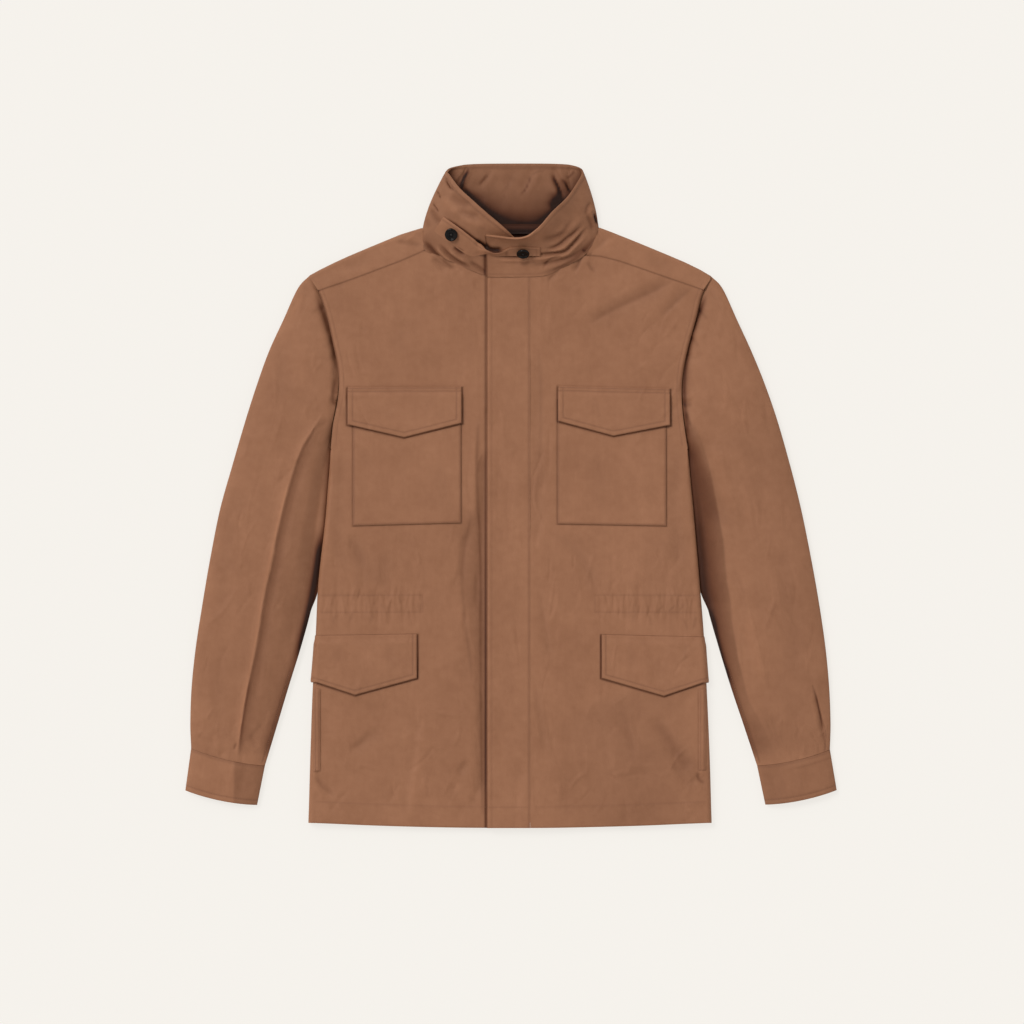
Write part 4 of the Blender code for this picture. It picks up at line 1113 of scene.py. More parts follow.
def scattered(seed, zones):
    """Small creases of random place, lean, length, width and height. A zone gives how many, the lowest
    and highest out and y, the lean from upright in degrees and its spread, the shortest and longest,
    and the most rise."""
    rng = np.random.default_rng(seed)
    rows = []
    for count, low_a, high_a, low_b, high_b, lean, spread, short, long, rise in zones:
        for _ in range(count):
            middle = np.array([rng.uniform(low_a, high_a), rng.uniform(low_b, high_b)])
            turn = math.radians(lean + rng.normal(0, spread))
            half = 0.5 * rng.uniform(short, long) * np.array([math.sin(turn), math.cos(turn)])
            bend = np.array([half[1], -half[0]]) * rng.uniform(-0.22, 0.22)
            width = rng.uniform(1.5, 3.2)
            rows.append((rng.choice([-1, 1]) * rng.uniform(0.35, 1) * rise, width,
                         width * rng.uniform(0.7, 1.8),
                         (middle - half, middle + bend, middle + half)))
    return tuple(rows)


BODY_ZONES = (
    (16, 150, 208, 70, 235, 48, 22, 18, 60, 0.6), (10, 60, 180, 150, 262, 40, 30, 20, 60, 0.42),
    (16, 32, 62, -395, 70, 3, 9, 25, 90, 0.6), (26, 60, 236, -396, -262, 12, 42, 16, 60, 0.7),
    (18, 60, 226, -118, -44, 6, 20, 16, 60, 0.6), (8, 30, 105, 250, 288, 52, 24, 10, 30, 0.6),
    (14, 208, 236, -396, -60, 62, 26, 8, 26, 0.55), (10, 34, 58, 70, 255, 4, 10, 20, 70, 0.4),
    (10, 110, 236, -262, -160, 8, 30, 12, 40, 0.5),
)
SLEEVE_ZONES = (
    (16, 236, 330, -20, 230, -20, 18, 25, 80, 0.6), (22, 262, 372, -250, -20, -14, 22, 20, 80, 0.65),
    (22, 292, 388, -330, -262, -10, 26, 10, 36, 0.75), (12, 226, 262, 60, 250, -34, 24, 10, 34, 0.6),
)
PLACKET_ZONES = (
    (14, -26, 22, -395, 250, 70, 28, 8, 30, 0.4), (12, -24, 20, -395, 255, 2, 8, 30, 90, 0.34),
)
BODY_SMALL = {"left": scattered(5, BODY_ZONES), "right": scattered(9, BODY_ZONES)}
SLEEVE_SMALL = {"left": scattered(15, SLEEVE_ZONES), "right": scattered(22, SLEEVE_ZONES)}
PLACKET_SMALL = scattered(33, PLACKET_ZONES)


CASING_HIGH = -121.4
CASING_LOW = -142.1
CASING_FROM = {"left": 102.5, "right": 108.0}
FRONT_SEAM_SHARES = (0.6, 0.6, 0.4, 0.5, 0.4)
PLACKET_SEAM_SHARES = (0.25, 0.9, 0.5)
HEM_STITCH = 25.5
ARMHOLE_STITCH = 6.0
PLACKET_STITCH = 6.0
PLACKET_EDGE_STITCH = 1.8
# Half length and height of the sewn lines of the back: the casing, the hem and the yoke
BACK_SEAMS = ((238, CASING_HIGH), (238, CASING_LOW), (243, -372), (205, 190))


def front_seams(side):
    """Sewn lines of a front: the two casing lines and their end, the hem line, the armhole line."""
    start = CASING_FROM[side]
    outer = edge_out(side, WAIST_Y) - 6
    armhole_y = np.linspace(PIT_Y + 6, 262, 16)
    armhole = np.column_stack([armhole_out(side, armhole_y) - ARMHOLE_STITCH, armhole_y])
    hem_out = np.linspace(30, 238, 12)
    hem = np.column_stack([hem_out, smooth(HEM["out"], HEM["y"], hem_out) + HEM_STITCH])
    return [
        np.array([(start, CASING_HIGH), (outer, CASING_HIGH - 0.5)]),
        np.array([(start, CASING_LOW), (outer, CASING_LOW - 0.5)]),
        np.array([(start, CASING_HIGH), (start, CASING_LOW)]),
        hem,
        armhole,
    ]


def front_level(side, out, y):
    """Outer face of a front over its flat part: low at the centre, higher towards the side fold, with
    its folds, gathers, seams and slow unevenness."""
    rise = ease((out - LEVEL_RISE_FROM) / LEVEL_RISE_OVER)
    level = LEVEL_CENTRE + (LEVEL_SIDE - LEVEL_CENTRE) * rise
    if side == "left":
        lift = LAY_GAP + PLACKET_WALL
        level = level + lift * ease((OVERLAP_END - out) / OVERLAP_FADE)
    calm = ease((edge_out(side, np.minimum(y, PIT_Y)) - out) / CALM_AT_SIDE)
    deep, pucker = ditches(front_seams(side), out, y, 1.0, FRONT_SEAM_SHARES)
    seed = FRONT_SEED[side]
    uneven = 0.30 * ripple(out, y, 90.0, seed) + 0.09 * ripple(out * 1.6, y, 30.0, seed + 40)
    folds = creases(BODY_CREASES[side] + BODY_SMALL[side], out, y) + gather_height(side, out, y)
    return level + calm * (folds + uneven) - 0.2 * deep + 0.11 * pucker * calm


def grown(corners, by):
    """Outline of a piece that lies on a front, a little outside its sides and its foot."""
    out = np.concatenate([corners["out"][:1] - by, corners["out"], corners["out"][-1:] + by])
    low = np.concatenate([corners["low"][:1], corners["low"], corners["low"][-1:]]) - by
    foot = np.column_stack([out, low])
    start = (out[0], corners["top"][0] - 1)
    stop = (out[-1], corners["top"][-1] - 1)
    return np.vstack([start, foot[:1], foot[2:-2] if len(foot) > 4 else foot[:0], foot[-1:], stop])


def front_shade(side, out, y):
    """Painted shade of a front: in deep folds, in the hollow beside the placket's free edge, and in
    the narrow gaps round what lies on it, with a little painted highlight on its ridges."""
    hips = HIP_FLAP[side]
    lines = [grown(CHEST_POCKET[side], 0.5), grown(CHEST_FLAP[side], 1.0), grown(hips, 1.0)[:-1]]
    round_pieces = ditches(lines[1:], out, y, 1.15)[0]
    round_pieces = np.maximum(round_pieces, 0.42 * ditches(lines[:1], out, y, 0.9)[0])
    beside = WELT[side]["out"][0] - 0.8
    welt = ditches([np.array([(beside, -237), (beside, -334)])], out, y, 1.1)[0]
    free = hips["out"][0] - 0.9
    under = ditches([np.array([(free, hips["top"][0] - 2), (free, hips["low"][0])])], out, y, 0.9)[0]
    shade = 0.58 * round_pieces + 0.08 * welt + np.maximum(creases(BODY_SHADE[side], out, y), 0)
    shade = shade + 0.34 * under
    if side == "right":
        edge = -PLACKET_LEFT_X + 1.6
        shade = shade + (0.40 + 0.32 * ease((160 - y) / 480)) * bell(out - edge, 1.7)
    folds = creases(BODY_CREASES[side], out, y)
    return shade + 0.07 * np.clip(-folds, 0, 3) - 0.025 * np.clip(folds, 0, 2)


def front_points(side, out, y, lift=0.0):
    """Outer face of a front, also round its side fold, moved out by lift."""
    out, y = np.broadcast_arrays(np.asarray(out, float), np.asarray(y, float))
    depth = fold_depth(y)
    start = edge_out(side, np.minimum(y, PIT_Y)) - depth
    lean = np.where(y < PIT_Y, np.clip((out - start) / depth, 0, 1), 0)
    rise = np.sqrt(1 - lean ** 2)
    half = LEVEL_SIDE / 2
    z = np.where(lean > 0, half + half * rise, front_level(side, out, y))
    size = np.hypot(lean / depth, rise / half)
    away = np.where(lean > 0, lean / depth / size, 0)
    up = np.where(lean > 0, rise / half / size, 1)
    return places(SIDES[side] * (out + lift * away), y, z + lift * up)


def graded(low, high, count, spots):
    """Grid lines from low to high, closer together near some spots: the spacing is what a density of
    one plus a bell for each spot (its place, its reach and how much closer) allows."""
    at = np.linspace(low, high, 3001)
    density = 1 + sum(gain * bell(at - place, reach) for place, reach, gain in spots)
    walked = walk((density[1:] + density[:-1]) / 2)
    return np.interp(np.linspace(0, walked[-1], count + 1), walked, at)


def even(low, high, count, rim_mm=()):
    """Grid lines from low to high, with some extra close to both ends."""
    inside = np.linspace(low, high, count - 2 * len(rim_mm))
    way = np.sign(high - low)
    extra = np.array(rim_mm, float)
    return np.sort(np.concatenate([inside, low + way * extra, high - way * extra]))[::int(way)]


FRONT_COLUMNS = 188
FRONT_TURN = 12
FRONT_ROWS_LOW = 296
FRONT_ROWS_HIGH = 116
BESIDE_PLACKET = {"left": 24.5, "right": 31.0}
HEM_CURVE_FROM_Y = -165.8
HEM_CURVE_OVER = 240.0


def shoulder_seam_y(side, out):
    """Height of the shoulder seam at a distance from the centre line."""
    return np.interp(out, SHOULDER_SEAM[side]["out"], SHOULDER_SEAM[side]["y"])


def make_front(side):
    """A front: flat over the body, turned round the side fold, and under it to the side seam. Its
    columns run from the centre edge to the fold, and its top row follows the neck and shoulder."""
    neck = NECK_SEAM[side]
    low_spots = ((HEM_Y, 4, 1.5), (-234, 13, 0.9), (WAIST_Y, 16, 0.5), (-36, 4, 1.4), (42, 20, 0.3))
    high_spots = ((80, 12, 1.2), (PLACKET_TOP_Y, 8, 1.4))
    rows = np.concatenate([graded(HEM_Y, PIT_Y, FRONT_ROWS_LOW, low_spots),
                           graded(PIT_Y, PLACKET_TOP_Y, FRONT_ROWS_HIGH, high_spots)[1:]])
    tip = armhole_out(side, SHOULDER_SEAM[side]["y"][-1]) - ARMHOLE_GAP / 2
    centre = neck["out"][0] - (0.45 if side == "left" else 0)
    beside_placket = BESIDE_PLACKET[side] - centre
    share = graded(0, 1, FRONT_COLUMNS, ((beside_placket / 230, 0.02, 1.2), (0.98, 0.03, 1.2)))
    top_out = centre + (tip - centre) * share
    top_y = np.where(top_out < neck["out"][-1], np.interp(top_out, neck["out"], neck["y"]),
                     shoulder_seam_y(side, top_out))
    rise = ease((rows - SHAPED_FROM_Y) / (PLACKET_TOP_Y - SHAPED_FROM_Y))
    y = rows[:, None] + rise[:, None] * (top_y[None, :] - SEAM_GAP / 2 - PLACKET_TOP_Y)
    hem_y = smooth(HEM["out"], HEM["y"], top_out)
    y = y + ease((HEM_CURVE_FROM_Y - rows) / HEM_CURVE_OVER)[:, None] * (hem_y - HEM_Y)[None, :]
    side_y = y[:, -1]
    limit = np.where(rows > PIT_Y + 0.5, armhole_out(side, side_y) - ARMHOLE_GAP / 2,
                     edge_out(side, np.minimum(side_y, PIT_Y)) - fold_depth(side_y))
    out = centre + (limit - centre)[:, None] * share[None, :]
    flat = front_points(side, out, y)
    edges = 0.7 * bell(y - hem_y, 1.2)
    if side == "right":
        edges = edges + 0.8 * bell(out - centre, 1.2)
    over_pit = (ease((rows - PIT_Y) / 12) * (0.35 + 0.65 * ease((rows - 128) / 30)))[:, None]
    edges = edges + 1.1 * over_pit * bell(limit[:, None] - out, 1.6)
    flat[..., 2] -= edges
    angles = np.radians(np.linspace(90, -90, FRONT_TURN - 3)[1:])
    turn_out = limit[:, None] + fold_depth(side_y)[:, None] * np.cos(angles)
    half = LEVEL_SIDE / 2
    turn = places(SIDES[side] * turn_out, side_y[:, None], half + half * np.sin(angles))
    under_out = edge_out(side, np.minimum(side_y, PIT_Y)) - seam_under(side_y)
    ways = np.linspace(0, 1, 5)[1:]
    under = places(SIDES[side] * (turn_out[:, -1:] + (under_out[:, None] - turn_out[:, -1:]) * ways),
                   side_y[:, None], 0)
    grid = np.concatenate([flat, turn, under], axis=1)
    seam = np.zeros(grid.shape[:2])
    seam[:, :len(share)] = ditches(front_seams(side), out, y, 1.0, FRONT_SEAM_SHARES)[0]
    shade = np.zeros(grid.shape[:2])
    shade[:, :len(share)] = front_shade(side, out, y)
    # Painted shade along the armhole edge and along the top seam, most on the yoke
    shade[:, :len(share)] += 0.4 * over_pit * bell(limit[:, None] - out, 1.3)
    from_top = top_y[None, :] - SEAM_GAP / 2 - y
    on_yoke = ease((top_out - neck["out"][-1]) / 6)[None, :]
    shade[:, :len(share)] += (0.12 + 0.30 * on_yoke) * bell(from_top, 1)
    cells = np.ones(((len(rows) - 1) // 4, (grid.shape[1] - 1) // 4), bool)
    cells[FRONT_ROWS_LOW // 4:, FRONT_COLUMNS // 4:] = False
    thing = shell("front_" + side + "_cloth", grid, BODY_WALL, cells=cells,
                  flip=side == "right", seam=seam, shade=shade)
    place_cloth(thing, "front_" + side)
    skin = lambda a, b: front_points(side, a, b)
    stitching("front_" + side + "_stitches",
              [stitch_run(skin, line[:, 0], line[:, 1], flip=side == "right")
               for line in front_seams(side)])


BACK_COLUMNS = 48
BACK_NECK_CELLS = 48
BACK_OVER_ROWS = 36


def make_back():
    """The back: flat under the body, its shoulder arms turned over the fold to the front seam. Rows
    run from the hem up, over the fold, and down to the seam."""
    lower = np.concatenate([np.linspace(HEM_Y + BACK_HEM_LIFT, PIT_Y, 97)[:-1],
                            np.linspace(PIT_Y, 257.0, 40)])
    floor = []
    over = []
    for side in ("right", "left"):
        fold = SHOULDER_FOLD_LINE[side]
        fold_out = np.linspace(fold["out"][0] - NECK_CORNER_LAP, fold["out"][-1] - ARMHOLE_GAP / 2,
                               BACK_COLUMNS + 1)
        fold_y = np.interp(fold_out, fold["out"], fold["y"]) - SHOULDER_FOLD
        tip = armhole_out(side, SHOULDER_SEAM[side]["y"][-1]) - ARMHOLE_GAP / 2
        seam_out = np.linspace(SHOULDER_SEAM[side]["out"][0], tip, BACK_COLUMNS + 1)
        seam_y = shoulder_seam_y(side, seam_out)
        edge = edge_out(side, np.minimum(lower, PIT_Y)) - seam_under(lower) - HIDDEN_GAP
        under_seam = armhole_out(side, lower) - ARMHOLE_GAP / 2 - UNDER_SEAM_SHIFT
        edge = np.where(lower > PIT_Y + 1, under_seam, edge)
        out = edge[:, None] * (fold_out / fold_out[-1])[None, :]
        out = np.concatenate([out, fold_out[None, :]])
        y = np.concatenate([np.repeat(lower[:, None], len(fold_out), axis=1), fold_y[None, :]])
        floor.append(places(SIDES[side] * out, y, 0))
        angles = np.radians(np.linspace(-90, 90, 13)[1:])[:, None]
        corner = 1.4 * np.exp(-np.arange(BACK_COLUMNS + 1) / 3.0) * np.cos(angles)
        turned = places(SIDES[side] * (fold_out - corner), fold_y + SHOULDER_FOLD * np.cos(angles),
                        SHOULDER_THICKNESS / 2 * (1 + np.sin(angles)))
        way = np.linspace(0, 1, BACK_OVER_ROWS - 12 + 1)[1:, None]
        out = fold_out + (seam_out - fold_out) * way
        y = fold_y + (seam_y + SEAM_GAP / 2 - fold_y) * way
        level = SHOULDER_THICKNESS + (front_level(side, out, y) - SHOULDER_THICKNESS) * ease(way)
        level = level + creases(SHOULDER_CREASES[side], out, y) * ease(way / 0.3)
        top = places(SIDES[side] * out, y, level)
        over.append(np.concatenate([turned, top]))
    neck = np.linspace(0, 1, BACK_NECK_CELLS + 1)[1:-1]
    right_neck = floor[0][:, 0]
    left_neck = floor[1][:, 0]
    middle = right_neck[:, None] + (left_neck - right_neck)[:, None] * neck[None, :, None]
    middle[-1, :, 1] = BACK_NECK_Y + BACK_NECK_RISE * (2 * neck - 1) ** 2
    low = np.concatenate([floor[0][:, ::-1], middle, floor[1]], axis=1)
    gap = np.zeros((over[0].shape[0], len(neck), 3))
    high = np.concatenate([over[0][:, ::-1], gap, over[1]], axis=1)
    grid = np.concatenate([low, high])
    columns = grid.shape[1] - 1
    low_cells = (low.shape[0] - 1) // 4
    cells = np.ones(((grid.shape[0] - 1) // 4, columns // 4), bool)
    cells[low_cells:, BACK_COLUMNS // 4:(BACK_COLUMNS + BACK_NECK_CELLS) // 4] = False
    seam = ditches([np.array([(-half, height), (half, height)]) for half, height in BACK_SEAMS],
                   grid[..., 0], grid[..., 1])[0]
    under = grid[..., 2] < 0.01
    grid[..., 2] += np.where(under, 0.35 * seam, 0)
    # Painted shade along the shoulder seam and in the shoulder creases, painted highlight on their
    # ridges, and deep painted shade on the back's inside where it shows under the neck
    from_seam = (np.arange(grid.shape[0])[::-1] * 1.05)[:, None] + 0 * grid[..., 0]
    shade = np.where(under, 0.0, 0.3 * bell(from_seam, 1))
    for side, sign in SIDES.items():
        folds = creases(SHOULDER_CREASES[side], sign * grid[..., 0], grid[..., 1]) * ~under
        shade = shade + 0.14 * np.clip(-folds, 0, 2) - 0.07 * np.clip(folds, 0, 2)
    under_neck = ease((grid[..., 1] - 262) / 20) * ease((96 - np.abs(grid[..., 0])) / 8)
    shade = shade + 0.9 * under_neck * under
    thing = shell("back_cloth", grid, BACK_WALL, cells=cells, flip=True, seam=seam * under,
                  shade=shade)
    place_cloth(thing, "back")


def make_placket():
    """The fly strip over both front edges: a flat band with a rolled free edge, slow creases and two
    sewn lines."""
    lines = [np.array([(x, HEM_Y), (x, PLACKET_TOP_Y)])
             for x in (PLACKET_LEFT_X + PLACKET_STITCH, PLACKET_RIGHT_X - PLACKET_EDGE_STITCH)]
    lines.append(np.array([(x, HEM_Y + HEM_STITCH) for x in (PLACKET_LEFT_X, PLACKET_RIGHT_X)]))

    def skin(x, y):
        deep, pucker = ditches(lines, x, y, 1.0, PLACKET_SEAM_SHARES)
        level = LEVEL_CENTRE + LAY_GAP + PLACKET_WALL
        fall = 1.2 * bell(x - PLACKET_LEFT_X, 1.1)
        fall = fall + 0.5 * bell(y - HEM_Y, 1.1)
        fall = fall + 0.12 * bell(x - PLACKET_RIGHT_X, 0.9)
        lift = ease((-8 - x) / 20) * bell(y + 150, 190)
        wave = 0.25 * ripple(x * 1.5, y, 75.0, 21)
        z = level + creases(PLACKET_CREASES + PLACKET_SMALL, x, y) + wave + lift - fall
        z = z - 0.16 * deep + 0.1 * pucker + 0.45 * bell(x - PLACKET_LEFT_X - 2.6, 1.8)
        return places(x, y, np.maximum(z, level - 1.4))

    x = even(PLACKET_LEFT_X, PLACKET_RIGHT_X, 41, (0.4, 0.9))
    y = even(HEM_Y, PLACKET_TOP_Y - SEAM_GAP, 401, (0.4, 0.9))
    across, along = np.meshgrid(x, y)
    # Painted shade along the placket's edges, most at its free edge
    edge = 0.5 * bell(across - PLACKET_LEFT_X, 0.8)
    edge = edge + 0.1 * bell(across - PLACKET_RIGHT_X, 0.8)
    thing = shell("placket_cloth", skin(across, along), PLACKET_WALL,
                  seam=ditches(lines, across, along, 1.0, PLACKET_SEAM_SHARES)[0], shade=edge)
    place_cloth(thing, "placket")
    stitching("placket_stitches", [stitch_run(skin, line[:, 0], line[:, 1]) for line in lines])


def patch(name, side, corners, lift, wall, insets, tuck=0.0, wrap=False, curl=0.0,
          marks=(), density=0.95, cover=None):
    """A piece that lies on a front: its points are the front's, moved out by lift, with its edges
    rolled down. insets are the sewn lines' distances from its sides, foot and top, curl is how far
    its lower corners lift, and cover is the piece that lies on it in turn."""
    first, last = corners["out"][0], corners["out"][-1]
    inset_side, inset_foot, inset_top = insets
    middle = corners["out"][len(corners["out"]) // 2]
    width = last - first
    tall = float(np.mean(corners["top"] - corners["low"]))

    def top_at(out):
        return np.interp(out, corners["out"], corners["top"])

    def low_at(out):
        return np.interp(out, corners["out"], corners["low"])

    lines = []
    turned = edge_out(side, float(corners["low"][-1])) - 2.0
    if inset_foot:
        keys = [first + inset_side, middle, turned if wrap else last - inset_side]
        if len(corners["out"]) == 2:
            keys = [first + inset_side, last - inset_side]
        lines.append(np.array([(key, low_at(key) + inset_foot) for key in keys]))
    if inset_side:
        for key in (first + inset_side, last - inset_side)[:1 if wrap else 2]:
            lines.append(np.array([(key, low_at(key) + inset_foot), (key, top_at(key) - 1.0)]))
    if inset_top:
        lines.append(np.array([(first, top_at(first) - inset_top), (last, top_at(last) - inset_top)]))
        lines.append(np.array([(first + 1, top_at(first) - 1.6), (last - 1, top_at(last) - 1.6)]))

    def skin(out, y):
        base = front_points(side, out, y)
        normal = front_points(side, out, y, 1.0) - base
        near_side = np.abs(out - first)
        if not wrap:
            near_side = np.minimum(near_side, np.abs(last - out))
        near_foot = np.abs(y - low_at(out))
        near_top = np.abs(top_at(out) - y)
        near = np.minimum(np.minimum(near_side, near_foot), near_top)
        deep, pucker = ditches(lines, out, y)
        away = np.clip((top_at(out) - y) / tall, 0, 1)
        corner = np.clip(np.abs(out - (first + last) / 2) / (width / 2), 0, 1)
        rise = curl * away ** 2 * (0.35 + 0.65 * corner ** 2)
        height = lift + wall - tuck * ease((y - top_at(out) + TUCK_DEPTH) / TUCK_FADE)
        height = height + rise + np.maximum(creases(marks, out, y), -0.15) * ease(near / 6)
        height = height - 0.7 * bell(near, 0.9) - 0.16 * deep + 0.1 * pucker * (curl > 0)
        return base + normal * height[..., None]

    # Painted shade along the sides and foot, in its creases, and under and round the piece that lies on
    # it
    def dark(out, y):
        near = np.minimum(np.abs(out - first), np.abs(y - low_at(out)))
        if wrap:
            near = np.minimum(near, np.abs(top_at(out) - y))
        else:
            near = np.minimum(near, np.abs(last - out))
        edge = 0.55 if curl else 0.5 * ease((width - 12) / 20)
        shade = edge * bell(near, 0.6) + 0.08 * np.clip(-creases(marks, out, y), 0, 2)
        if cover:
            shade = shade + 0.6 * ditches([grown(cover, 1.0)], out, y, 1.15)[0]
            inside = (y > np.interp(out, cover["out"], cover["low"]) - 0.5)
            shade = np.where(inside, np.maximum(shade, 0.4), shade)
        return shade

    across = 4 * round(width / density / 4)
    down = 4 * round(tall / density / 4)
    out = even(first, last, across + 1, (0.35, 0.8))
    away = even(0.0, 1.0, down + 1, (0.35 / tall, 0.8 / tall))[:, None]
    y = low_at(out) + (top_at(out) - low_at(out)) * away
    out = np.broadcast_to(out, y.shape)
    if wrap:
        start = edge_out(side, y[:, -1:]) - fold_depth(y[:, -1:])
        out = first + (start - first) * (out - first) / (last - first)
        turn = start + fold_depth(y[:, -1:]) * np.sin(np.radians(np.linspace(0, 90, 9)[1:]))
        out = np.concatenate([out, turn], axis=1)
        y = np.concatenate([y, np.repeat(y[:, -1:], 8, axis=1)], axis=1)
    thick = wall
    if wrap:
        thick = wall - tuck * ease((y - top_at(out) + TUCK_DEPTH) / TUCK_FADE)
    thing = shell(name + "_cloth", skin(out, y), thick, flip=side == "right",
                  seam=ditches(lines, out, y, 0.9)[0], shade=dark(out, y))
    place_cloth(thing, name)
    runs = [stitch_run(skin, line[:, 0], line[:, 1], pitch=2.8, flip=side == "right")
            for line in lines]
    if runs:
        stitching(name + "_stitches", runs)


def make_pockets(side):
    """The pockets and flaps of a front."""
    patch("chest_pocket_" + side, side, CHEST_POCKET[side], LAY_GAP, POCKET_WALL,
          (1.6, 1.6, 0), marks=POCKET_CREASES[side], density=1.15,
          cover=CHEST_FLAP[side])
    patch("chest_flap_" + side, side, CHEST_FLAP[side], 2 * LAY_GAP + POCKET_WALL, FLAP_WALL,
          (6.3, 6.0, 5.6), tuck=LAY_GAP + POCKET_WALL, curl=1.6,
          marks=CHEST_FLAP_CREASES[side])
    patch("hip_flap_" + side, side, HIP_FLAP[side], LAY_GAP, FLAP_WALL,
          (5.2, 5.6, 0), tuck=1.1, wrap=True, curl=1.4,
          marks=HIP_FLAP_CREASES[side])
    patch("welt_" + side, side, WELT[side], LAY_GAP, POCKET_WALL, (1.6, 0, 0),
          density=1.0)


# ---------------------------------------------------------------- sleeves and cuffs
def ring_points(side, outer, inner, bow, height, turn, top_relief, low=0.0):
    """One flattened ring of a sleeve: its top is a low arch with round folds, its bottom is flat.
    outer and inner are its two folds, bow moves its middle off their chord, and low is how far the
    inner fold lies under the outer one's level."""
    share = (1 - np.cos(turn)) / 2
    spread = np.abs(2 * share - 1)
    centre = outer + (inner - outer) * share[..., None] + bow
    fold = height * (FOLD_SHARE - low * ease((share - 0.5) / 0.45))
    arch = fold + (height - fold) * np.sqrt(np.maximum(1 - spread ** ARCH_POWER, 0))
    flat = fold - fold * np.sqrt(np.maximum(1 - spread ** BASE_POWER, 0))
    top = np.sin(turn) >= 0
    calm = ease((1 - spread) / RING_CALM)
    z = np.where(top, arch, flat)
    z = z + np.where(top, calm * top_relief(centre[..., 0], centre[..., 1]), 0)
    return places(SIDES[side] * centre[..., 0], centre[..., 1], z)


def sleeve_relief(side, out, y):
    """Folds on top of a sleeve, and its fall towards the body."""
    rows = SLEEVE_FALL[side]
    line = smooth(rows["y"], rows["out"], y)
    drop = smooth(rows["y"], rows["drop"], y)
    inside = (y > rows["y"][0]) & (y < rows["y"][-1])
    fall = np.where(inside, drop, 0) * ease((line - out) / 20)
    seed = SLEEVE_SEED[side]
    uneven = 0.35 * ripple(out, y, 80.0, seed) + 0.10 * ripple(out * 1.5, y, 30.0, seed + 40)
    seam = armhole_out(side, np.clip(y, PIT_Y, None))
    over_pit = ease((y - PIT_Y) / 14) * (0.35 + 0.65 * ease((y - 128) / 30))
    fall = fall + 2.0 * over_pit * bell(out - seam, 3.4)
    return creases(SLEEVE_CREASES[side] + SLEEVE_SMALL[side], out, y) + uneven - fall


def station_values(side, at):
    """The sleeve's table at any place between its stations. Down to the waist its inner fold lies
    against the body."""
    rows = SLEEVE[side]
    station = np.arange(len(rows["height"]), dtype=float)
    row = {name: smooth(station, values, at) for name, values in rows.items()}
    y = row["inner_y"]
    close = ease((y + 142) / 32) * ease((PIT_Y + 2 - y) / 6)
    beside = edge_out(side, np.minimum(y, PIT_Y)) - SIDE_LAP
    row["inner_out"] = row["inner_out"] + (beside - row["inner_out"]) * close
    row["low"] = 0.27 * ease((y + 150) / 30) * ease((PIT_Y + 2 - y) / 12)
    return row


def sleeve_skin(side):
    """The sleeve as a surface of station and turn: the first ring follows the armhole seam."""
    stations = len(SLEEVE[side]["height"])

    def skin(at, turn):
        at = np.asarray(at, float)
        turn = np.asarray(turn, float)
        row = station_values(side, at)
        share = (1 - np.cos(turn)) / 2
        tip_y = ARMHOLE[side]["y"][-1]
        seam_out = armhole_out(side, tip_y + (PIT_Y - tip_y) * share) + ARMHOLE_GAP / 2
        seam_out = seam_out - np.where(np.sin(turn) < -1e-9, UNDER_SEAM_SHIFT, 0)
        tip_out = ARMHOLE[side]["out"][-1]
        chord = tip_out + (ARMHOLE[side]["out"][0] - tip_out) * share
        fade = 1 - ease(at / ARMHOLE_FADE_RINGS)
        low = ease((at - CUFF_BOW_FROM) / (stations - 1 - CUFF_BOW_FROM))
        bow = np.stack([(seam_out - chord) * fade, -CUFF_BOW * low * 4 * share * (1 - share)], axis=-1)
        outer = np.stack(np.broadcast_arrays(row["outer_out"], row["outer_y"]), axis=-1)
        inner = np.stack(np.broadcast_arrays(row["inner_out"], row["inner_y"]), axis=-1)
        return ring_points(side, outer, inner, bow, row["height"], turn,
                           lambda out, y: sleeve_relief(side, out, y), row["low"])

    return skin


def ring_turns(top_count, base_count):
    """Turns round a flattened ring: closer near its folds, and closer on top than underneath."""
    way = np.linspace(0, 1, top_count + 1)[:-1]
    share = 0.5 * way + 0.25 * (1 - np.cos(math.pi * way))
    top = np.arccos(1 - 2 * share)
    base = np.linspace(math.pi, 2 * math.pi, base_count + 1)[:-1]
    return np.concatenate([top, base])


SLEEVE_ROWS = 260
SLEEVE_STITCH = 4.5
SLEEVE_STITCH_STATIONS = (10.6, 12.9)
LEFT_SLIT = ((368, -232), (376, -262), (384, -289), (383, -311))


def band_shade(out, y):
    """Painted shade of the sleeve between its fold beside the body and the crease: falling evenly from
    one to the other, and ending sharply at the crease."""
    rows = SLEEVE_BAND
    row = {name: np.interp(y, rows["y"], values) for name, values in rows.items()}
    way = np.clip((out - row["fold"]) / (row["crease"] - row["fold"]), 0, 1)
    shade = row["at_fold"] + (row["at_crease"] - row["at_fold"]) * way
    ends = ease((rows["y"][-1] - y) / 14) * ease((y - rows["y"][0]) / 30)
    return shade * ends * ease(0.5 + (row["crease"] - out) / 3.4)


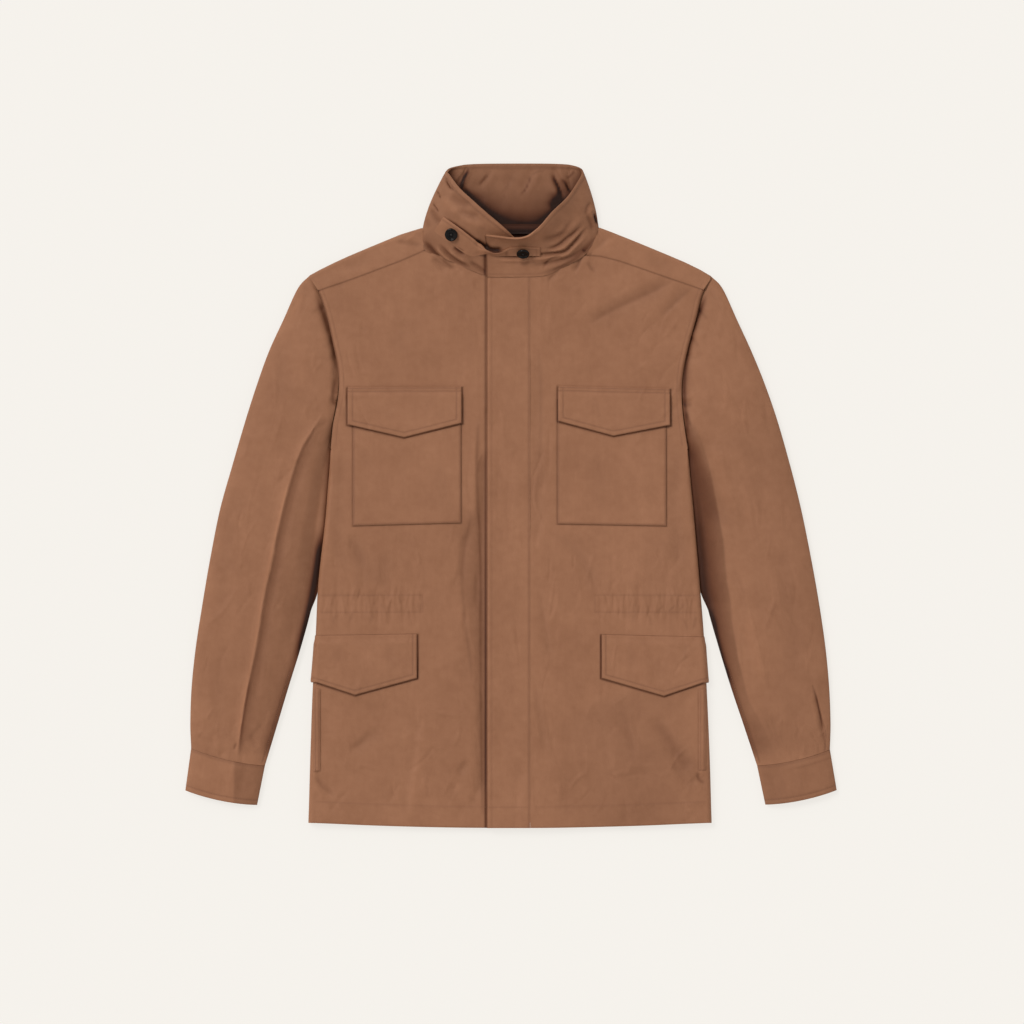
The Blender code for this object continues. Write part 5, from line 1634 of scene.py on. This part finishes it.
def make_sleeve(side):
    """A sleeve tube, laid flat, open at the armhole and at the cuff seam, with the lower part of its
    inner seam sewn along the body side."""
    skin = sleeve_skin(side)
    row = SLEEVE[side]
    steps = np.hypot(np.diff(row["outer_out"]), np.diff(row["outer_y"]))
    steps = steps + np.hypot(np.diff(row["inner_out"]), np.diff(row["inner_y"]))
    walked = walk(steps)
    at = np.interp(np.linspace(0, walked[-1], SLEEVE_ROWS + 1), walked, np.arange(len(walked)))
    turn = ring_turns(108, 36)
    turns, ats = np.meshgrid(turn, at)
    grid = skin(ats, turns)
    width = np.hypot(row["outer_out"] - row["inner_out"], row["outer_y"] - row["inner_y"])
    seam_at = np.linspace(*SLEEVE_STITCH_STATIONS, 20)
    seam_share = 1 - SLEEVE_STITCH / np.interp(seam_at, np.arange(len(width)), width)
    seam_turn = np.arccos(1 - 2 * seam_share)
    line = skin(seam_at, seam_turn)
    out = np.abs(grid[..., 0])
    top = np.sin(turns) > 0
    lines = [np.column_stack([np.abs(line[:, 0]), line[:, 1]])]
    if side == "left":
        lines.append(smooth_line(LEFT_SLIT, 8))
    deep = ditches(lines, out, grid[..., 1])[0] * top
    grid[..., 2] -= 0.2 * deep
    folds = creases(SLEEVE_CREASES[side], out, grid[..., 1])
    # Painted shade from the sleeve's table and in its folds, painted highlight on its ridges, and on
    # the wearer's left sleeve the painted shade of its inner side
    shade = creases(SLEEVE_SHADE[side], out, grid[..., 1])
    shade = shade + 0.06 * np.clip(-folds, 0, 3) - 0.02 * np.clip(folds, 0, 2)
    if side == "left":
        shade = shade + band_shade(out, grid[..., 1])
    thing = shell("sleeve_" + side + "_cloth", grid, SLEEVE_WALL, around=True,
                  flip=side == "right", seam=deep, shade=shade)
    place_cloth(thing, "sleeve_" + side)
    stitching("sleeve_" + side + "_stitches",
              [stitch_run(skin, seam_at, seam_turn, flip=side == "left")])


CUFF_ROWS = 36
CUFF_STITCH = 6.5
CUFF_SEAM_STITCH = 2.4
CUFF_CREASES = {
    "left": strokes("-0.8 8 6  318 -330  326 -376; 0.6 8 8  350 -318  358 -368"),
    "right": strokes("0.9 5 12  332 -318  342 -352  346 -376; -0.7 5 5  322 -322  334 -372"),
}


def make_cuff(side):
    """A cuff band, a little proud of the sleeve, with a sewn line along both its edges."""
    row = SLEEVE[side]
    end = CUFF_END[side]
    start_outer = np.array([row["outer_out"][-1], row["outer_y"][-1]])
    start_inner = np.array([row["inner_out"][-1], row["inner_y"][-1]])
    end_outer = np.array(end[:2])
    end_inner = np.array(end[2:])
    length = np.linalg.norm(end_outer - start_outer)
    marks = CUFF_CREASES[side]

    def skin(way, turn):
        way = np.asarray(way, float)
        turn = np.asarray(turn, float)
        share = (1 - np.cos(turn)) / 2
        bow = np.stack(np.broadcast_arrays(0 * share, -CUFF_BOW * 4 * share * (1 - share)), axis=-1)
        outer = start_outer + (end_outer - start_outer) * way[..., None]
        inner = start_inner + (end_inner - start_inner) * way[..., None]
        points = ring_points(side, outer, inner, bow, CUFF_HEIGHT, turn,
                             lambda out, y: creases(marks, out, y) + 0.2 * ripple(out, y, 60, 5))
        from_seam = way * length
        from_end = (1 - way) * length
        roll = 0.7 * bell(from_seam, 1.1) + 0.7 * bell(from_end, 1.1)
        groove = 0.2 * (bell(from_end - CUFF_STITCH, 0.9) + bell(from_seam - CUFF_SEAM_STITCH, 0.9))
        points[..., 2] -= (roll + groove) * np.where(np.sin(turn) > 0, 1, 0)
        return points

    way = np.sort(np.concatenate([np.linspace(SEAM_GAP / length, 1.0, CUFF_ROWS - 3),
                                  [0.02, 0.985, 0.97, 0.035]]))
    turn = ring_turns(96, 36)
    turns, ways = np.meshgrid(turn, way)
    top = np.sin(turns) > 0
    from_end = (1 - ways) * length
    from_seam = ways * length
    deep = (bell(from_end - CUFF_STITCH, 1) + bell(from_seam - CUFF_SEAM_STITCH, 1)) * top
    grid = skin(ways, turns)
    out = np.abs(grid[..., 0])
    # Painted shade along the cuff seam; on the wearer's right cuff painted shade beyond the crease and
    # a little painted light on the rest; on the wearer's left cuff painted shade all over, more beyond
    # its crease and along a line below the seam
    shade = 0.4 * bell(from_seam, 0.9) * top
    if side == "right":
        shade = shade + 0.22 * ease((340 - out) / 4) - 0.05
    else:
        shade = shade + 0.10 + 0.05 * ease((338 - out) / 10)
        shade = shade + 0.12 * bell(from_seam - 9.5, 1.6) * ease((out - 330) / 20)
    thing = shell("cuff_" + side + "_cloth", grid, CUFF_WALL, around=True, step=2,
                  flip=side == "right", seam=deep, shade=shade)
    place_cloth(thing, "cuff_" + side)
    turn_line = np.linspace(0.06, math.pi - 0.06, 40)
    stitching("cuff_" + side + "_stitches",
              [stitch_run(skin, np.full(40, way), turn_line, flip=side == "left")
               for way in (1 - CUFF_STITCH / length, CUFF_SEAM_STITCH / length)])


# ---------------------------------------------------------------- the neck
# Millimetres across the collar and the strap and from station to station, and the stitching's insets
COLLAR_TALL = 70.0
COLLAR_STATION = 25
COLLAR_END_STATION = 30
COLLAR_TOP_STITCH = 4.0
COLLAR_SEAM_STITCH = 3.0
STRAP_TALL = 20
STRAP_STATION = 15
STRAP_TAB_STATION = 18
STRAP_STITCH = 3.4
TAPE_STITCH = 1.6


def collar_skin(at, across):
    """The collar as a surface of station and share: a parabola across its base, knee and top."""
    station = np.arange(len(COLLAR["base_x"]), dtype=float)
    at = np.asarray(at, float)
    t = np.asarray(across, float)[..., None]
    lines = []
    for line in ("base", "knee", "top"):
        lines.append(np.stack([smooth(station, COLLAR[line + axis], at)
                               for axis in ("_x", "_y", "_z")], axis=-1))
    base_part = (t - COLLAR_KNEE) * (t - 1) / COLLAR_KNEE
    knee_part = t * (t - 1) / (COLLAR_KNEE * (COLLAR_KNEE - 1))
    top_part = t * (t - COLLAR_KNEE) / (1 - COLLAR_KNEE)
    points = lines[0] * base_part + lines[1] * knee_part + lines[2] * top_part
    points[..., 2] = np.maximum(points[..., 2], 0)
    return points


def make_collar():
    """The collar: one strip with its upper end over its under end. Its inner face has creases of its
    own, so that its back still lies flat on the floor."""
    last = len(COLLAR["base_x"]) - 1.0
    at = even(0.0, last, 401, (0.02, 0.05))
    across = even(0.0, 1.0, 61, (0.006, 0.014))
    ats, acrosses = np.meshgrid(at, across)
    grid = collar_skin(ats, acrosses)
    from_top = (1 - acrosses) * COLLAR_TALL
    from_base = acrosses * COLLAR_TALL
    hem = bell(from_top - COLLAR_TOP_STITCH, 0.9)
    foot = bell(from_base - COLLAR_SEAM_STITCH, 0.9)
    front = 1 - ease((ats - 6.0) / 0.6) * ease((12.4 - ats) / 0.6)
    wall = COLLAR_WALL + creases(COLLAR_CREASES, ats, acrosses) * (1 - front)
    along = ats * COLLAR_STATION
    wall = wall - 0.2 * hem + 0.25 * ripple(along, from_base, 45, 91) * ease(from_top / 8)
    wall = np.maximum(wall, 0.9)
    wall = wall * (1 - 0.74 * front * (1 - ease(from_base / 7)))
    normal = -grid_normals(grid, False)
    uneven = 0.35 * ripple(along, from_base, 55, 77)
    x = grid[..., 0]
    y = grid[..., 1]
    folds = creases(COLLAR_FOLDS, x, y) * ease(from_top / 3)
    rise = 1.6 * folds
    rise = rise + creases(COLLAR_HOLLOW, x, y) * np.where(ats < 6, 0.5, 1)
    sink = (0.2 * hem + 0.15 * foot - uneven * ease(from_base / 10) * ease(from_top / 8) - rise) * front
    sink = sink + 0.5 * bell(from_top, 1) * front
    # Painted shade of the inner face: darker down into the hollow, along its top edge, in its creases
    # and beside the front edges
    inside = 0.14 + 0.06 * ease((398 - y) / 12) + 0.30 * ease((384 - y) / 46)
    inside = inside + 0.24 * ease((352 - y) / 18) + 0.24 * ease((338 - y) / 10)
    inside = inside + 0.16 * bell(y - 399.5, 1.6) + creases(COLLAR_INSIDE_SHADE, x, y)
    for edge, wide in zip(V_EDGES, (0.34, 0.12)):
        away = nearest(smooth_line(edge), x, y)[0]
        inside = inside + 0.42 * bell(away, 8)
        inside = inside + wide * ease((380 - y) / 15) * bell(away, 17)
    # Painted shade of the outer face in its folds, in the hollow behind the strap, at the upper end's
    # edge and beside the upper end's leading edge, painted highlight on its ridges, and a little darker
    # towards both sides
    outside = creases(COLLAR_SHADE, x, y) + creases(COLLAR_HOLLOW_SHADE, x, y)
    outside = outside + 0.12 * ease((-10 - x) / 40) + 0.12 * ease((x - 30) / 30)
    outside = outside + 0.05 * np.clip(-folds, 0, 3) - 0.05 * np.clip(folds, 0, 2)
    outside = outside + 0.5 * bell((last - ats) * COLLAR_END_STATION, 0.9)
    outside = outside + 0.62 * bell(x + 31.6, 2) * (ats < 6) * ease((304 - y) / 6)
    grid = grid - normal * sink[..., None]
    grid[..., 2] = np.maximum(grid[..., 2], 0)
    thing = shell("collar_cloth", grid, wall, step=1, flip=True, seam=np.maximum(hem, 0.5 * foot),
                  shade=outside * front + inside * (1 - front))
    place_cloth(thing, "collar")
    stitching("collar_stitches",
              [stitch_run(collar_skin, np.linspace(start, last - 0.05, count), np.full(count, share),
                          flip=True)
               for start, count, share in ((0.3, 60, 1 - COLLAR_TOP_STITCH / COLLAR_TALL),
                                           (12.6, 30, COLLAR_SEAM_STITCH / COLLAR_TALL))])
    return grid, ats


def strap_skin(level):
    """The throat strap as a surface of station and share, straight across between its edges, and as
    high over the collar as its table says."""
    station = np.arange(len(STRAP["upper_x"]), dtype=float)

    def skin(at, across):
        at = np.asarray(at, float)
        t = np.asarray(across, float)
        row = {name: smooth(station, values, at) for name, values in STRAP.items()}
        x = row["lower_x"] + (row["upper_x"] - row["lower_x"]) * t
        y = row["lower_y"] + (row["upper_y"] - row["lower_y"]) * t
        lift = row["lower_lift"] + (row["upper_lift"] - row["lower_lift"]) * ease(t / 0.8)
        width = np.hypot(row["upper_x"] - row["lower_x"], row["upper_y"] - row["lower_y"])
        near = np.minimum((1 - t) * width, np.minimum(at, station[-1] - at) * STRAP_STATION)
        roll = 0.6 * bell(near, 0.9) + 0.16 * bell(near - STRAP_STITCH, 0.8)
        z = level(x, y) + np.maximum(lift - roll, 0.25)
        return places(x, y, z), lift

    return skin


def collar_level(grid, stations):
    """Height of the collar's outer face under the strap: the mean of its near points, of its under end
    and, past its leading edge, of its upper end."""
    layers = []
    for low, high in ((0.5, 5.6), (13.5, 18.0)):
        keep = (stations > low) & (stations < high)
        layers.append(grid[keep][::3])

    def level(x, y):
        x, y = np.broadcast_arrays(x, y)
        heights = []
        for points in layers:
            apart = (x.ravel()[:, None] - points[:, 0]) ** 2 + (y.ravel()[:, None] - points[:, 1]) ** 2
            weight = np.exp(-apart / 8.0) + 1e-30
            heights.append(((weight @ points[:, 2]) / weight.sum(axis=1)).reshape(x.shape))
        over = ease((x + 41) / 11)
        return heights[0] + (heights[1] - heights[0]) * over

    return level


def make_strap(grid, stations):
    """The throat strap, sewn down along its lower edge, its upper edge standing free, and its end laid
    over the collar's upper end."""
    last = len(STRAP["upper_x"]) - 1.0
    skin = strap_skin(collar_level(grid, stations))
    at = even(0.0, last, 185, (0.03, 0.07))
    across = even(0.0, 1.0, 33, (0.02, 0.045))
    ats, acrosses = np.meshgrid(at, across)
    outer, lift = skin(ats, acrosses)
    near = np.minimum((1 - acrosses) * STRAP_TALL, np.minimum(ats, last - ats) * STRAP_STATION)
    # Painted shade at the tab's end, in a line across the strap, and along its free edge in the middle,
    # where the hollow lies
    shade = 0.35 * bell((last - ats) * STRAP_TAB_STATION, 0.8)
    shade = shade + 0.3 * bell(ats - 7.35, 0.22) * ease((0.9 - acrosses) / 0.3)
    shade = shade + 0.85 * np.exp(-((outer[..., 0] + 18) / 8) ** 4) * ease((acrosses - 0.8) / 0.14)
    thing = shell("throat_strap_cloth", outer, np.clip(lift - 0.2, 0.2, STRAP_WALL - 0.2), step=2,
                  seam=bell(near - STRAP_STITCH, 0.8), shade=shade)
    place_cloth(thing, "throat_strap")
    along = np.linspace(0.4, 4.4, 40)
    tab = np.linspace(8.2, last - 0.25, 30)
    place = lambda at, across: skin(at, across)[0]
    stitching("throat_strap_stitches",
              [stitch_run(place, line, np.full(len(line), share), pitch=2.6)
               for line, share in ((along, 0.82), (tab, 0.2), (tab, 0.8))])


def make_neck_tape():
    """The tape inside the back neck, over the collar's lower edge."""
    x = even(-NECK_TAPE_HALF, NECK_TAPE_HALF, 121, (0.3, 0.8))
    y = even(NECK_TAPE_LOW, NECK_TAPE_HIGH, 17, (0.3, 0.8))
    across, along = np.meshgrid(x, y)
    near = np.minimum(along - NECK_TAPE_LOW, NECK_TAPE_HIGH - along)
    deep = bell(near - TAPE_STITCH, 0.6)
    level = COLLAR_WALL + LAY_GAP + TAPE_WALL
    z = level + 0.8 + 0.3 * ripple(across, along, 30, 66) - 0.25 * deep
    # Painted shade: the tape lies deep in the neck's hollow and is darkened there, most towards its
    # lower edge
    thing = shell("neck_tape_cloth", places(across, along, z), TAPE_WALL, finish=TAPE, step=2,
                  seam=deep, shade=0.76 + 0.2 * ease((328 - along) / 5))
    place_cloth(thing, "neck_tape")


def turn_matrix(lean):
    """Rotation by three angles in degrees, about X, then Y, then Z."""
    a, b, c = (math.radians(part) for part in lean)
    about_x = np.array([[1, 0, 0], [0, math.cos(a), -math.sin(a)], [0, math.sin(a), math.cos(a)]])
    about_y = np.array([[math.cos(b), 0, math.sin(b)], [0, 1, 0], [-math.sin(b), 0, math.cos(b)]])
    about_z = np.array([[math.cos(c), -math.sin(c), 0], [math.sin(c), math.cos(c), 0], [0, 0, 1]])
    return about_z @ about_y @ about_x


HOLE_AT = 1.3125
HOLE_RADIUS = 0.85
HOLE_DEPTH = 1.5
DISH_AT = 0.635 * BUTTON_THICKNESS
SEWING_RADIUS = 0.22


def make_button(name, seat, lean):
    """A turned button with four holes, sewn on with crossed thread: a profile of radius and height
    turned about its axis, whose face is sunk where a hole is."""
    profile = np.array([(0.0, 0.0), (0.82, 0.0), (0.95, 0.14), (1.0, 0.42), (0.985, 0.72),
                        (0.93, 0.93), (0.86, 1.0), (0.79, 0.97), (0.71, 0.80), (0.64, 0.68),
                        (0.56, 0.64)])
    knots = np.arange(len(profile), dtype=float)
    at = np.linspace(0, knots[-1], 41)
    radius = smooth(knots, profile[:, 0], at) * BUTTON_RADIUS
    height = smooth(knots, profile[:, 1], at) * BUTTON_THICKNESS
    radius = np.concatenate([np.clip(radius, 0.02, None), np.linspace(0.55 * BUTTON_RADIUS, 0.02, 22)])
    height = np.concatenate([height, np.full(22, DISH_AT)])
    turn = np.linspace(0, 2 * math.pi, 97)[:-1]
    x = radius[:, None] * np.cos(turn)
    y = radius[:, None] * np.sin(turn)
    z = np.repeat(height[:, None], len(turn), axis=1)
    holes = [(i, j) for i in (-HOLE_AT, HOLE_AT) for j in (-HOLE_AT, HOLE_AT)]
    for hole in holes:
        away = np.hypot(x - hole[0], y - hole[1])
        z[41:] -= HOLE_DEPTH * (1 - ease((away[41:] - HOLE_RADIUS + 0.25) / 0.35))
    turned = turn_matrix(lean)
    grid = places(x, y, z) @ turned.T + np.array(seat)
    index = np.arange(grid[..., 0].size).reshape(grid.shape[:2])
    index = closed(index)
    walls = quads(index).reshape(-1, 4)
    caps = [index[:1, :-1][:, ::-1], index[-1:, :-1]]
    thing = add_mesh(name + "_horn", grid.reshape(-1, 3), [walls] + caps, HORN)
    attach(thing, "root")
    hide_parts(name)
    way = np.linspace(0, 1, 15)
    tubes = []
    for start, stop in ((0, 3), (1, 2)):
        for shift in (-SEWING_RADIUS, SEWING_RADIUS):
            p = np.array(holes[start])
            q = np.array(holes[stop])
            beside = np.array([-(q - p)[1], (q - p)[0]]) / np.linalg.norm(q - p) * shift
            centre = p + (q - p) * way[:, None] + beside
            lift = 0.62 * BUTTON_THICKNESS + 0.75 * np.sin(math.pi * way) ** 0.6 - 0.45
            lift = lift + (0.22 if start else 0.0) * np.sin(math.pi * way)
            tubes.append((np.column_stack([centre, lift]), np.append(beside / abs(shift), 0)))
    points = []
    faces = []
    for line, beside in tubes:
        ring = [line + beside * SEWING_RADIUS * math.cos(a)
                + np.array([0, 0, 1]) * SEWING_RADIUS * math.sin(a)
                for a in np.linspace(0, 2 * math.pi, 9)[:-1]]
        tube = np.stack(ring, axis=1) @ turned.T + np.array(seat)
        number = np.arange(tube[..., 0].size).reshape(tube.shape[:2]) + sum(map(len, points))
        points.append(tube.reshape(-1, 3))
        faces.append(quads(closed(number)).reshape(-1, 4))
    sewing = add_mesh(name + "_thread", np.concatenate(points), faces, BLACK_THREAD)
    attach(sewing, "root")


# ---------------------------------------------------------------- stage
VIEW_WIDTH = 1249.3
VIEW_CENTRE = (1.2, -20.1)
CAMERA_HEIGHT = 6000.0
CLOTH_LEVEL = 10.0
SENSOR = 36.0
FLOOR_HALF = 6000.0
FLOOR_DROP = 0.05
LIGHT_STRENGTH = 1.7
LIGHT_SPREAD = 25
LIGHT_TURN = (-27, -34, 0)


def make_camera():
    """A far camera straight above, so that height hardly shifts anything sideways."""
    lens = bpy.data.cameras.new("camera")
    lens.sensor_width = SENSOR
    lens.lens = SENSOR * (CAMERA_HEIGHT - CLOTH_LEVEL) / VIEW_WIDTH
    lens.clip_end = 50.0
    camera = put(bpy.data.objects.new("camera", lens))
    camera.location = (VIEW_CENTRE[0] * MM, VIEW_CENTRE[1] * MM, CAMERA_HEIGHT * MM)
    bpy.context.scene.camera = camera


def make_stage():
    """Pale floor, a soft light from the upper left, and a studio that is bright half way up its walls
    and dark overhead."""
    finish = blank_finish("pale_floor", {
        "Base Color": (0.15, 0.147, 0.142, 1), "Roughness": 0.95, "Specular IOR Level": 0.0,
        "Emission Color": (0.770, 0.744, 0.702, 1), "Emission Strength": 1.0})[0]
    corners = FLOOR_HALF * np.array([(-1, -1, 0), (1, -1, 0), (1, 1, 0), (-1, 1, 0)])
    floor = add_mesh("floor", corners - np.array([0, 0, FLOOR_DROP]), [np.array([[0, 1, 2, 3]])],
                     finish)
    sun = bpy.data.lights.new("soft_light", "SUN")
    sun.energy = LIGHT_STRENGTH
    sun.angle = math.radians(LIGHT_SPREAD)
    sun.color = (1.0, 0.985, 0.965)
    lamp = put(bpy.data.objects.new("soft_light", sun))
    lamp.rotation_euler = [math.radians(part) for part in LIGHT_TURN]
    world = bpy.data.worlds.new("studio")
    bpy.context.scene.world = world
    world.use_nodes = True
    background = world.node_tree.nodes["Background"]
    background.inputs["Color"].default_value = (1.0, 0.99, 0.975, 1)
    sky = Signal(world.node_tree)
    up = sky.make("ShaderNodeSeparateXYZ", {}, {0: sky.make("ShaderNodeTexCoord", {}, {})}, 2)
    up = up.math("MAXIMUM", up, 0.0)
    connect(0.18 + up * (1.0 - up) * 2.48, background, "Strength")
    bpy.context.scene.view_settings.view_transform = "Standard"


make_camera()
make_stage()
make_back()
for side_name in SIDES:
    make_front(side_name)
    make_pockets(side_name)
    make_sleeve(side_name)
    make_cuff(side_name)
make_placket()
make_strap(*make_collar())
make_neck_tape()
for button_name, button_row in BUTTONS.items():
    make_button(button_name, button_row["seat"], button_row["lean"])
